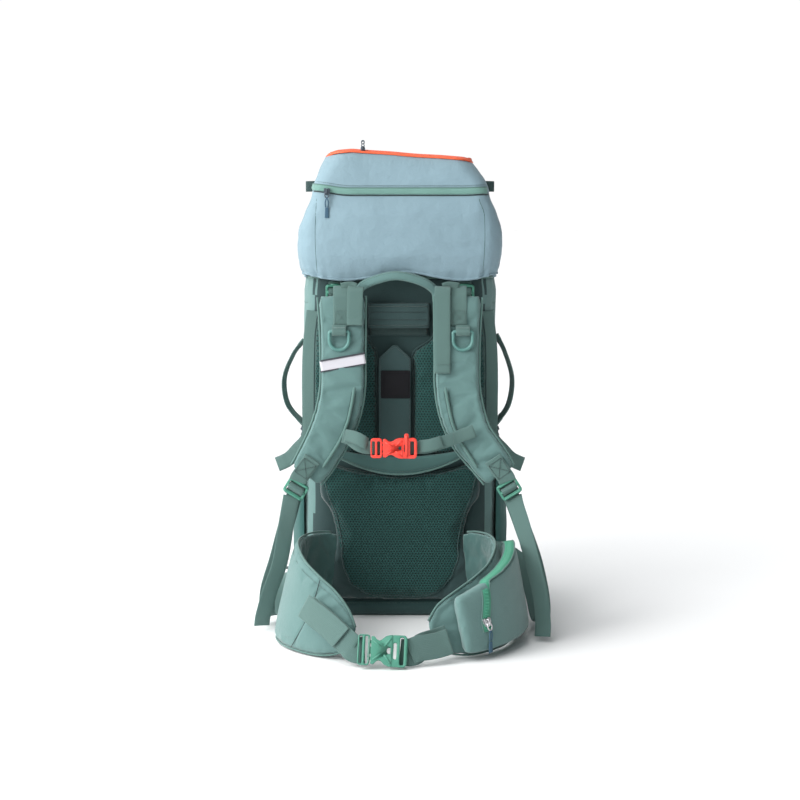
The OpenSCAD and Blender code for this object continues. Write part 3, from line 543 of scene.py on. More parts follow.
def puff(o, cap, pinned=None, pressure=4.0, voxel=0.005, grow=0.03, levels=1):
    """Stuffs a closed piece by cloth simulation: remesh, pressure without gravity, no point moved past the cap in millimetres.
    pinned says by position, in millimetres, how firmly a point is sewn down, from 0 to 1."""
    materials = list(o.data.materials)
    remesh = o.modifiers.new("remesh", "REMESH")
    remesh.mode, remesh.voxel_size = "VOXEL", voxel
    old = o.data
    o.data = bpy.data.meshes.new_from_object(o.evaluated_get(bpy.context.evaluated_depsgraph_get()))
    o.modifiers.clear()
    bpy.data.meshes.remove(old)
    rest = [v.co.copy() for v in o.data.vertices]
    modifier = o.modifiers.new("cloth", "CLOTH")
    c = modifier.settings
    c.quality, c.mass = 6, 0.2
    c.use_pressure, c.uniform_pressure_force = True, pressure
    c.effector_weights.gravity = 0
    c.shrink_min = -grow
    c.tension_stiffness = c.compression_stiffness = 12
    c.bending_stiffness = 0.4
    if pinned:
        group = o.vertex_groups.new(name="sewn")
        for v, p in zip(o.data.vertices, rest):
            group.add([v.index], pinned(p / MM), "REPLACE")
        c.vertex_group_mass = "sewn"
    modifier.point_cache.frame_start, modifier.point_cache.frame_end = 1, 20
    for f in range(1, 21):
        scene.frame_set(f)
    moved = bpy.data.meshes.new_from_object(o.evaluated_get(bpy.context.evaluated_depsgraph_get()))
    o.modifiers.clear()
    o.vertex_groups.clear()
    for v, was in zip(moved.vertices, rest):
        d = v.co - was
        if d.length > cap * MM:
            v.co = was + d.normalized() * cap * MM
    old = o.data
    o.data = moved
    bpy.data.meshes.remove(old)
    scene.frame_set(1)
    if not o.data.materials:
        for m in materials:
            o.data.materials.append(m)
    for p in o.data.polygons:
        p.use_smooth = True
    if levels:
        mod = o.modifiers.new("subdivide", "SUBSURF")
        mod.levels = mod.render_levels = levels
        old = o.data
        o.data = bpy.data.meshes.new_from_object(o.evaluated_get(bpy.context.evaluated_depsgraph_get()))
        o.modifiers.clear()
        bpy.data.meshes.remove(old)


def carve(o, path, width, depth):
    """Pulls the surface in along a seam: a groove of about that half width and depth, in millimetres."""
    dense = vectors(catmull([list(p) for p in path], 6)) if len(path) > 2 else [Vector(path[0]).lerp(Vector(path[1]),
            k / 60) for k in range(61)]
    tree = kdtree.KDTree(len(dense))
    for i, p in enumerate(dense):
        tree.insert(p * MM, i)
    tree.balance()
    normals = [v.normal.copy() for v in o.data.vertices]
    for v, n in zip(o.data.vertices, normals):
        d = tree.find(v.co)[2] / MM
        if d < width * 2.5:
            v.co -= n * (depth * math.exp(-(d / width) ** 2) * MM)
    o.data.update()


def paint(o, rule):
    """Material index of each face by its centre, in millimetres, and its normal."""
    for p in o.data.polygons:
        p.material_index = rule(p.center / MM, p.normal)

# ---------------------------------------------------------------- lid

REAR, FRONT = -100, 106
MID = (REAR + FRONT) / 2


def rounded_loop(hw, y0, y1, r, z, count, r_front=None):
    """Evenly spaced points round a rounded rectangle, from the middle of its rear edge towards +X."""
    r_front = r_front or r
    dense = [Vector((0, y0, z))]
    for sx, y, sy, a0, rr in ((1, y0, 1, -90, r), (1, y1, -1, 0, r_front), (-1, y1, -1, 90, r_front),
            (-1, y0, 1, 180, r)):
        dense += [Vector((sx * (hw - rr) + rr * math.cos(math.radians(a0 + 9 * k)),
                          y + sy * rr + rr * math.sin(math.radians(a0 + 9 * k)), z)) for k in range(11)]
    dense.append(Vector((0, y0, z)))
    length = [0.0]
    for a, b in zip(dense, dense[1:]):
        length.append(length[-1] + (b - a).length)
    out, k = [], 0
    for i in range(count):
        want = length[-1] * i / count
        while length[k + 1] < want:
            k += 1
        out.append(dense[k].lerp(dense[k + 1], (want - length[k]) / max(1e-6, length[k + 1] - length[k])))
    return out


def between(rows, z):
    """Row of numbers at the height z, smoothly between the rows that begin with a height."""
    if z <= rows[0][0]:
        return rows[0][1:]
    for k, (a, b) in enumerate(zip(rows, rows[1:])):
        if z <= b[0]:
            before, after = rows[max(k - 1, 0)], rows[min(k + 2, len(rows) - 1)]
            t = (z - a[0]) / (b[0] - a[0])
            return [0.5 * (2 * q + (r - p) * t + (2 * p - 5 * q + 4 * r - s) * t * t
                    + (3 * q - p - 3 * r + s) * t ** 3)
                    for p, q, r, s in zip(before[1:], a[1:], b[1:], after[1:])]
    return rows[-1][1:]


# Height, half width, rear and front edge, corner radius
LID_ROWS = [(546, 151, -125, 128, 36), (556, 155, -127, 130, 36), (575, 159, -129, 132, 34),
        (598, 160.5, -129.5, 132, 32),
            (622, 158, -129, 132, 28), (645, 150, -128.5, 131, 25), (662, 142, -128, 129, 23),
                    (676, 138.5, -127, 128, 22),
            (690, 136, -125.5, 126, 25), (708, 128, -119, 119, 28), (724, 120, -110, 109, 30),
                    (736, 114, -101, 99, 32)]
LID_AROUND = 220
LID_HEM, LID_ZIP, LID_CLOTH = 546, 679.5, 3.0  # height of the hem and the rear zip, thickness of the cloth


def lid_point(k, z, inset=0.0):
    """Point k of LID_AROUND round the lid at the height z, with its outward direction."""
    key = (round(z, 3), inset)
    if key not in lid_point.loops:
        hw, y0, y1, r = between(LID_ROWS, z)
        lid_point.loops[key] = rounded_loop(hw - inset, y0 + inset, y1 - inset, r - inset * 0.4, z, LID_AROUND)
    loop = lid_point.loops[key]
    k %= LID_AROUND
    p, t = loop[k].copy(), (loop[(k + 1) % LID_AROUND] - loop[k - 1]).normalized()
    n = Vector((t.y, -t.x, 0))
    corner = math.exp(-((abs(p.x) - 135) / 26) ** 2)
    hem = math.exp(-(z - LID_HEM) / 20)
    arc = k * (930 / LID_AROUND)
    out = 2.6 * bumpy(p, 75, 1.7) * smoothstep(LID_HEM, 600, z) + 1.1 * bumpy((p.x, p.y, p.z * 2.2), 34, 6.1)
    out += corner * hem * (2.6 * math.sin(arc / 2.1) + 1.4 * math.sin(arc / 1.27 + 1))
    out += 0.5 * hem * math.sin(arc / 3.1)
    if p.y < -70:
        crease = math.exp(-((z - 596 + 0.05 * p.x) / 5.5) ** 2) * smoothstep(30, 60,
                p.x) * (1 - smoothstep(118, 130, p.x))
        out -= 1.6 * crease
        out += 10 * (1 - min(1, abs(p.x) / 150) ** 2) * smoothstep(LID_HEM, 590, z) * (1 - smoothstep(640, 676, z))
        out += 2.5 * math.exp(-(p.x / 95) ** 2) * math.exp(-((z - 628) / 42) ** 2)
        rise = 9 * math.exp(-((p.x - 8) / 42) ** 2) - 3.5 * math.exp(-((abs(p.x - 5) - 88) / 30) ** 2)
        rise += 5.5 * math.exp(-((abs(p.x) - 150) / 22) ** 2)
        p.z += hem * rise
    seam = math.exp(-((abs(p.x) - 129) / 2.2) ** 2) * (1 if abs(p.y - MID) > 80
            else 0) * (1 - smoothstep(664, 672, z))
    out -= 2.0 * seam
    high = smoothstep(690, 736, z)
    p.z += high * (5.5 - 0.075 * (p.x + 75 if p.x > -75 else -1.2 * (p.x + 75)) + 1.3 * bumpy(p, 60, 3.3))
    return p + n * out, n


lid_point.loops = {}


def lid_line(x0, x1, z, lift, rear=True, steps=60):
    """Points on the lid's rear or front face from x0 to x1 at the height z(share), lifted off it, and their
    normals."""
    z = z if callable(z) else (lambda share, value=z: value)
    points, normals = [], []
    for i in range(steps + 1):
        share = i / steps
        x, zz = x0 + (x1 - x0) * share, z(i / steps)
        if zz not in lid_line.rings:
            lid_line.rings[zz] = [lid_point(k, zz)[0] for k in range(LID_AROUND)]
        near = min((abs(p.x - x), k) for k, p in enumerate(lid_line.rings[zz]) if (p.y < 0) == rear)[1]
        a, na = lid_point(near, zz)
        other = near + 1 if (lid_point(near + 1, zz)[0].x - a.x) * (x - a.x) > 0 else near - 1
        b, nb = lid_point(other, zz)
        t = 0 if abs(b.x - a.x) < 1e-6 else min(1, max(0, (x - a.x) / (b.x - a.x)))
        n = na.lerp(nb, t).normalized()
        points.append(a.lerp(b, t) + n * lift)
        normals.append(n)
    return points, normals


lid_line.rings = {}


def lid():
    heights = [LID_HEM + 2.2 * k for k in range(10)] + [569 + 5.1 * k for k in range(33)]
    outer = [[lid_point(k, z)[0] for k in range(LID_AROUND)] for z in heights]
    top = outer[-1]
    centre = sum(top, Vector()) / LID_AROUND
    for step, (inward, up) in enumerate([(0.02, 3.0), (0.05, 5.0), (0.09, 6.0), (0.16, 6.8), (0.28, 7.6), (0.42, 8.0),
                                         (0.58, 8.0), (0.76, 7.8), (0.92, 7.6)]):
        outer.append([p.lerp(centre, inward) + Vector((0, 0, up - 1.2 + 1.6 * bumpy(p, 50, step) * inward))
                for p in top])
    inner = [[lid_point(k, z)[0] - lid_point(k, z)[1] * LID_CLOTH for k in range(LID_AROUND)]
            for z in (602, 588, 574, 560, 550, LID_HEM)]
    shell = Shape().loft(inner + outer, caps=True, mat=0)
    inside = len(inner) * LID_AROUND
    shell.mats = [1 if i < inside else 0 for i in range(len(shell.mats))]
    o = shell.piece("lid_shell_cloth", [LID, LID_INNER], "lid", "lid_shell", "lid_cloth")
    liner = Shape()
    rings = []
    edge = [lid_point(k, 602)[0] - lid_point(k, 602)[1] * 3.2 for k in range(0, LID_AROUND, 2)]
    middle = sum(edge, Vector()) / len(edge)
    for z_off in (0, 2.0):
        for s in ([0, 0.04, 0.1, 0.2, 0.35, 0.5, 0.65, 0.8, 0.94, 0.998] if z_off == 0
                else [0.998, 0.94, 0.8, 0.65, 0.5, 0.35, 0.2, 0.1, 0.04, 0]):
            rings.append([p.lerp(middle, s) + Vector((0, 0, z_off - 4 * math.sin(math.pi * min(1, s * 1.3) / 2)
                                                      + 2.2 * bumpy(p.lerp(middle, s), 40, 2.2) * min(1, s * 4)))
                                                              for p in edge])
    liner.loft(rings, wrap=True).piece("lid_liner_cloth", LID_INNER, "lid", "lid_liner", "lid_cloth")
    # Elastic binding round the hem
    hem = [lid_point(k, LID_HEM)[0] - lid_point(k, LID_HEM)[1] * 1.2 for k in range(LID_AROUND)]
    Shape().rod(hem, 2.3, 8, wrap=True).piece("lid_hem_binding", LID, "lid", slot="lid_cloth")
    seams = Shape()
    for sx in (-1, 1):
        for rear in (True, False):
            line = []
            for i in range(30):
                z = 552 + (668 - 552) * i / 29
                x = sx * (129 + 2.5 * math.sin(i / 29 * 3) - (7 * smoothstep(0.7, 1, i / 29) ** 2 if sx > 0 else 0))
                p, n = lid_line(x, x + 0.01, z, -0.3, rear, 1)
                line.append(p[0])
            seams.rod(line, 0.55, 6)
    seams.piece("lid_seams", PAD_SHADE, "lid")
    # Rear welt over the zip, and a near-black line below it: painted shade in the gap under the welt, where the zip
    # shows
    z_of = lambda s: LID_ZIP + 6.5 * (1 - smoothstep(0, 0.22, s)) + 1.5 * smoothstep(0.85, 1, s)
    band = Shape()
    across = [(-5.2, 0.2), (-4.6, 2.2), (-2, 2.9), (1.5, 2.9), (4.0, 2.3), (5.2, 0.3)]
    lines = [lid_line(-139, 138, lambda s, up=up: z_of(s) + up, lift) for up, lift in across]
    rings = [[line[0][i] for line in lines] + [lines[k][0][i] - lines[k][1][i] * 3 for k in (5, 0)]
            for i in range(61)]
    band.loft(rings, uv=lambda i, j: (i * 4.5 * MM, j / 5 * 2 - 1))
    top_edge, n_top = lid_line(-139, 138, lambda s: z_of(s) + 5.0, 1.2)
    welt_gap_shade, n_low = lid_line(-137, 137, lambda s: z_of(s) - 6.6, 0.4)
    band.rod(top_edge, 1.1, 6, mat=1).rod(welt_gap_shade, 1.0, 6, mat=2)
    band.piece("lid_rear_welt", [WELT, PIPING, THREAD_DARK], "lid", "lid_rear_zip_track", "zip_green")
    stitch("lid", lid_line(-134, 134, lambda s: z_of(s) + 8.4, 0.1)[0], (0, -1, 0.1))
    # Orange zip along the rear edge of the top
    tape = Shape()
    run = lid_line(-112, 114, 734, 0.6, True, 70)[0]
    ends = lambda s: 1 - smoothstep(0.93, 1, s) - (1 - smoothstep(0, 0.07, s))
    rear_roll = [p + Vector((0, 1.5, 0.2 + 1.8 * max(0, ends(i / 70)))) for i, p in enumerate(run)]
    far_roll = [p + Vector((0, 13, 1.2 + 4.0 * max(0, ends(i / 70)))) for i, p in enumerate(run)]
    tape.strap([a.lerp(b, 0.5) + Vector((0, 0, 0.2)) for a, b in zip(rear_roll, far_roll)], (0, 1, 0.32), 12, 1.4)
    tape.rod(rear_roll, 1.5, 8, mat=1).rod(far_roll, 1.4, 8, mat=1)
    tape.piece("lid_top_zip_tape", [ORANGE, ORANGE_ROLL], "lid", "lid_top_zip_track", "zip_orange")
    tabs = Shape()
    for s in (-1, 1):
        fold = [[s * 134, -2.5, 688], [s * 147, -3.2, 687.6], [s * 151.5, -5.0, 687.4], [s * 147, -6.6, 687.4],
                [s * 134, -6.0, 687.6]]
        tabs.strap(vectors(catmull(fold, 6)), (0, 0, 1), 17, 1.6)
    tabs.piece("lid_side_tab_webbing", WEB_DARK, "lid", "lid_side_tabs", "dark_webbing")


def slider(name, body, node, mats, at, x, out, up, pull, cord=False, scale=1.0, slot="slider_dark"):
    """Zip slider at a point: body with a waist and a bridge, an eyelet pull, and a moulded or corded tab
    hanging down."""
    x, out, up = Vector(x), Vector(out), Vector(up)
    m = axes(x * scale, up * scale, out * scale, at)
    shape = Shape()
    outline = [(-4.6, 4.6), (-2.2, 5.2), (0, 3.6), (2.2, 5.2), (4.6, 4.6), (4.9, 0), (3.4, -4.8), (0, -5.6),
            (-3.4, -4.8), (-4.9, 0)]
    for z in (0.9, 3.4):
        shape.add(*plate([outline], 0.75, 0.4, m @ Matrix.Translation((0, 0, z))))
    shape.rod([m @ Vector(p) for p in ((0, 3.6, 3.6), (0, 3.4, 5.4), (0, 0.5, 6.4), (0, -3.0, 5.6), (0, -3.4, 3.6))],
            0.9 * scale, 8)
    eye = [(3.1 * math.cos(a), -5.4 + 4.2 * math.sin(a), 5.0) for a in (2 * math.pi * k / 20 for k in range(20))]
    shape.rod([m @ Vector(p) for p in eye], 0.95 * scale, 8, wrap=True)
    foot = Vector(at) + out * 5.0 * scale - up * 9.0 * scale
    down = Vector((0, 0, -1)) * 0.94 + up * -0.06
    if cord:
        for s in (-1, 1):
            loop = catmull([list(foot), list(foot + x * s * 2.4 + down * pull * 0.25 + out),
                    list(foot + x * s * 1.6 + down * pull * 0.5)], 6)
            shape.rod(vectors(loop), 0.95, 8, mat=1)
        tab = axes(x, down * -1, out, foot + down * pull * 0.78)
        shape.add(*plate([[(-2.4, 8), (2.4, 8), (3.4, -8), (-3.4, -8)]], 1.5, 0.8, tab), mat=1)
    else:
        tab = axes(x, up, out, foot - up * (pull * 0.5))
        shape.add(*plate([round_box(5.6, pull, 2.4), round_box(2.4, 4, 1.2, (0, -pull / 2 + 4))], 1.0, 0.5, tab),
                mat=1)
    return shape.piece(name, mats, body, node, slot)


lid()

# ---------------------------------------------------------------- bag


def bag_point(k, z, count, inset=0.0):
    hw = 152 + 2.5 * math.sin(math.pi * min(1, z / 545)) - inset
    if z > 520:
        hw -= 3.0 * smoothstep(520, 545, z)
    tuck = 12 * (1 - smoothstep(0, 26, z)) ** 2
    key = (round(z, 2), count, inset)
    if key not in bag_point.loops:
        bag_point.loops[key] = rounded_loop(hw - tuck, REAR + inset + tuck * 0.5, FRONT - inset - tuck * 0.6,
                46 - inset, z, count)
    loop = bag_point.loops[key]
    p, t = loop[k % count].copy(), (loop[(k + 1) % count] - loop[k - 1]).normalized()
    n = Vector((t.y, -t.x, 0))
    side = smoothstep(0.25, 0.75, abs(n.x))
    face = smoothstep(0.5, 0.9, n.y)
    out = side * (2.2 * bumpy(p, 70, 4.2) + 1.3 * bumpy((p.x, p.y, p.z * 0.45), 26, 8.1)) + face * 2.5 * bumpy(p, 90,
            2.2)
    out += 1.2 * smoothstep(500, 545, z) * math.sin(k * 1.9) * (side + face * 0.6)
    seam = sum(math.exp(-((z - zz) / 2.0) ** 2) for zz in (262, 500)) * (side + face)
    edge = sum(math.exp(-((p.y - yy) / 2.0) ** 2) for yy in (-72, 78)) * side
    return p + n * (out - 1.6 * min(1, seam) - 1.4 * edge), n


bag_point.loops = {}


def bag():
    count = 200
    heights = [6.5, 8, 11, 15, 20, 26, 34, 44] + [55 + 7 * k for k in range(70)] + [545]
    outer = [[bag_point(k, z, count)[0] for k in range(count)] for z in heights]
    inner = [[bag_point(k, z, count, 3.2)[0] for k in range(count)]
            for z in (545, 530, 500, 440, 360, 280, 200, 120, 60, 24, 12)]
    shell = Shape().loft(outer + inner, caps=True)
    shell.mats = [1 if i >= len(outer) * count else 0 for i in range(len(shell.mats))]
    o = shell.piece("main_bag_cloth", [BAG, LINING, PANEL], "pack", "main_bag", "pack_cloth")
    for p in o.data.polygons:
        if p.material_index == 0 and p.normal.y < -0.78:
            p.material_index = 2
    rim = [bag_point(k, 545, count)[0] - bag_point(k, 545, count)[1] * 1.4 for k in range(count)]
    trim = Shape().rod(rim, 2.6, 8, wrap=True)
    tree = kdtree.KDTree(len(shell.verts))
    for i, v in enumerate(shell.verts):
        tree.insert(v, i)
    tree.balance()
    for x_side in (-1, 1):
        # Dark piping down the rear corners, and a slimmer run of it down the front ones
        rear_line = [Vector((x_side * 131, -84.5, z)) for z in range(30, 545, 6)]
        on = [shell.verts[tree.find(p)[1]].lerp(p, 0.3) for p in rear_line]
        trim.rod(vectors(catmull([list(p) for p in on[::5]], 5)), 1.7, 8, mat=1)
        front_line = [shell.verts[tree.find(Vector((x_side * 128, 94, z)))[1]] for z in range(30, 540, 24)]
        trim.rod(vectors(catmull([[p.x + x_side * 0.9, p.y + 0.9, p.z] for p in front_line], 5)), 1.5, 8, mat=1)
    for z in (262, 500):
        ring = [bag_point(k, z + 4, count)[0] for k in range(count) if bag_point(k, z, count)[1].y > -0.5]
        ring_n = [bag_point(k, z + 4, count)[1] for k in range(count) if bag_point(k, z, count)[1].y > -0.5]
        stitch("pack", ring, ring_n, 4.2)
    trim.piece("main_bag_trim", [PIPING, PIPING_DARK], "pack")
    # Reinforced bottom: the base with its raised edge up to 26 mm
    base = Shape()
    rows = []
    for z, grow in ((0.2, -16), (0.0, -10), (0.6, -5), (3, -1.5), (8, 0.5), (16, 1.4), (24, 1.2), (27, 0.9)):
        rows.append([bag_point(k, max(z, 6.5), count)[0] + bag_point(k, max(z, 6.5), count)[1] * grow
                     - Vector((0, 0, max(z, 6.5) - z)) for k in range(count)])
    rows.append([p - bag_point(k, 27, count)[1] * 1.6 for k, p in enumerate(rows[-1])])
    base.loft(rows, caps=True)
    base.piece("base_panel_cloth", BAG_DARK, "pack", "base_panel", "pack_cloth")
    stitch("pack", [bag_point(k, 23, count)[0] + bag_point(k, 23, count)[1] * 1.3 for k in range(count)],
           [bag_point(k, 23, count)[1] for k in range(count)], 4.2)
    # Gathered storm collar
    rings = []
    for inset, order in ((0, 1), (1.6, -1)):
        rows = []
        for z in [522, 530, 538, 545, 551, 557, 563, 569, 575, 580, 584.5][::order]:
            gather = smoothstep(540, 584, z)
            loop = rounded_loop(148.6 - inset - 5 * gather, REAR + 5.4 + inset + 4 * gather,
                    FRONT - 5.4 - inset - 4 * gather, 42, z, 320)
            row = []
            for k, p in enumerate(loop):
                t = (loop[(k + 1) % 320] - loop[k - 1]).normalized()
                n = Vector((t.y, -t.x, 0))
                row.append(p - n * (gather * (2.2 + 2.0 * math.sin(k * 0.83) + 1.1 * math.sin(k * 0.53 + 1))
                        + 0.8 * (1 + bumpy(p, 25, 5))))
            rows.append(row)
        rings += rows
    collar = Shape().loft(rings, caps=False, wrap=True)
    collar = collar.piece("storm_collar_cloth", LID_INNER, "pack", "storm_collar", "lid_cloth")


bag()


def inner_parts():
    for node, material in (("frame_sheet", SHEET), ("frame_stays", ALLOY)):
        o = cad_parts[node]
        o.data.materials.clear()
        o.data.materials.append(material)
        mod = o.modifiers.new("soften", "BEVEL")
        mod.width, mod.segments, mod.limit_method = 0.5 * MM, 2, "ANGLE"
    lo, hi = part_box("hydration_sleeve")
    lo, hi = lo / MM, hi / MM
    outer, inside = [], []
    for i in range(25):
        z = lo.z + (hi.z - lo.z) * i / 24
        sag = 3 * math.sin(math.pi * i / 24)
        mk = lambda inset: [Vector((p.x, p.y + (0.8 * bumpy(p, 35, 3) if p.y > (lo.y + hi.y) / 2 else 0), p.z))
                for p in
                            rounded_loop((hi.x - lo.x) / 2 - inset - sag * 0.3, lo.y + inset,
                                    hi.y - inset - sag * 0.8, 6, z, 90)]
        outer.append(mk(0.2))
        inside.append(mk(1.8))
    Shape().loft(outer + inside[:0:-1], caps=True).piece("hydration_sleeve_cloth", LINING, "pack", "hydration_sleeve",
            "mesh")


inner_parts()


def side_pocket(s, name, node):
    """Stretch pocket: a pouch on the bag's side with an elastic top that gathers it."""
    rows_out, rows_in = [], []
    for i in range(40):
        z = 8.5 + (224 - 8.5) * i / 39
        share = i / 39
        bulge = 20.5 * math.sin(math.pi * (0.12 + 0.66 * share)) ** 0.6 - 3.5 * smoothstep(0.8, 1, share)
        out_row, in_row = [], []
        for j in range(81):
            a = j / 80
            y = -74 + 148 * a
            body = min(1, 8 * a, 8 * (1 - a)) ** 0.5 * (0.82 + 0.18 * math.sin(math.pi * a))
            gather = smoothstep(0.55, 1, share) * (0.9 * math.sin(j * 1.31) + 0.7 * math.sin(j * 0.77 + 2)) * (1
                    - 0.6 * smoothstep(0.97, 1, share))
            x = 154.6 + max(0.4, bulge * body + gather * min(1, 6 * a, 6 * (1 - a)) + 1.2 * bumpy((0, y, z), 30, 7))
            out_row.append(Vector((s * x, y, z)))
            in_row.append(Vector((s * max(154.5, x - 1.6), y, z)))
        rows_out.append(out_row)
        rows_in.append(in_row)
    shape = Shape().loft([a + b[::-1] for a, b in zip(rows_out, rows_in)], caps=True)
    top = [p + Vector((s * -0.8, 0, 0)) for p in rows_out[-1]]
    shape.rod(top, 2.4, 8, mat=1)
    stitch("pack", [p + Vector((s * 0.5, 0, 0)) for p in rows_out[-3]], (s, 0, 0), 3.2)
    return shape.piece(name, [STRETCH, PIPING_DARK], "pack", node, "pack_cloth")


side_pocket(-1, "side_pocket_left_cloth", "side_pocket_left")
side_pocket(1, "side_pocket_right_cloth", "side_pocket_right")


def front_pocket():
    """Bellows pocket with a rounded face, a seamed edge and a zip across it."""
    rings = []
    for k, (grow, y) in enumerate([(1, 0.4), (1.005, 8), (1.0, 17), (0.985, 25), (0.955, 31), (0.92, 33.6),
            (0.86, 34.4), (0.7, 34.9),
                                   (0.5, 35.3), (0.3, 35.5), (0.1, 35.6)]):
        loop = rounded_loop(108 * grow, 235 - 180 * grow, 235 + 180 * grow, 26 * grow, 0, 180)
        ring = []
        for j, p in enumerate(loop):
            q = Vector((p.x, FRONT + 0.4 + y, p.y))
            q.y += (1.8 * bumpy(q, 55, 9) + 1.2 * bumpy((q.x, 0, q.z * 2), 30, 4)) * smoothstep(10, 34, y)
            q.y -= 2.2 * math.exp(-((q.z - 352) / 3) ** 2) * smoothstep(20, 34, y)
            ring.append(q)
        rings.append(ring)
    shape = Shape().loft(rings, caps=True)
    o = shape.piece("front_pocket_cloth", BAG, "pack", "front_pocket", "pack_cloth")
    edge = Shape().rod([p + Vector((0, 0.6, 0)) for p in rings[5]], 1.6, 8, wrap=True)
    edge.piece("front_pocket_piping", PIPING_DARK, "pack")
    y = FRONT + 36.2
    tape = Shape().strap([Vector((x, y, 340)) for x in range(-85, 86, 5)], (0, 0, 1), 12, 1.2)
    tape.rod([Vector((x, y - 0.2, 347)) for x in range(-88, 89, 6)], 1.5, 8, mat=1)
    tape.rod([Vector((x, y - 0.2, 333)) for x in range(-88, 89, 6)], 1.3, 8, mat=1)
    tape.piece("front_zip_tape", [ORANGE, ORANGE_ROLL], "pack", "front_zip_track", "zip_orange")
    stitch("pack", [Vector((x, y + 0.2, 351)) for x in range(-86, 87, 6)], (0, 1, 0))
    slider("front_zip_pull", "front_slider", "front_zip_slider", [SILVER, NAVY], (-76, y + 0.9, 340), (-1, 0, 0),
            (0, 1, 0), (0, 0, 1), 22,
           slot="slider_silver")


front_pocket()

# ---------------------------------------------------------------- back panel


def star_pad(name, outline, y_back, thick, edge, material, node, body="pack", rings=14, crown=1.0, cap=3.0, extra=()):
    """Stuffed pad over a star-shaped outline in the XZ plane, its face towards -Y, puffed by simulation and
    sewn down at its edge."""
    centre = Vector((sum(p[0] for p in outline) / len(outline), 0, sum(p[1] for p in outline) / len(outline)))
    loop = [Vector((p[0], 0, p[1])) for p in catmull([list(p) for p in outline] + [list(outline[0])], 5)[:-1]]
    layers = []
    for k in range(rings):
        share = 1 - k / (rings - 0.5)
        ring = []
        for p in loop:
            q = centre.lerp(p, share)
            near = (p - q).length
            lift = math.sqrt(max(0, 1 - (1 - min(1, near / edge)) ** 2))
            ring.append(Vector((q.x, y_back - thick * (0.22 + 0.78 * lift) * (0.93 + 0.07 * crown * (1 - share ** 2)),
                    q.z)))
        layers.append(ring)
    base = [Vector((p.x, y_back, p.z)) for p in loop]
    back = [[centre.lerp(p, s) + Vector((0, y_back, 0)) for p in loop] for s in (0.1, 0.5)]
    shape = Shape().loft(back + [base] + layers, caps=True)
    o = shape.piece(name, [material, *extra], body, node, "mesh")
    tree = kdtree.KDTree(len(loop))
    for i, p in enumerate(loop):
        tree.insert(p, i)
    tree.balance()

    def pinned(p):
        if p.y > y_back - 1.5:
            return 1.0
        return 1.0 if tree.find(Vector((p.x, 0, p.z)))[2] < 4 else 0.0
    puff(o, cap, pinned)
    return o, loop


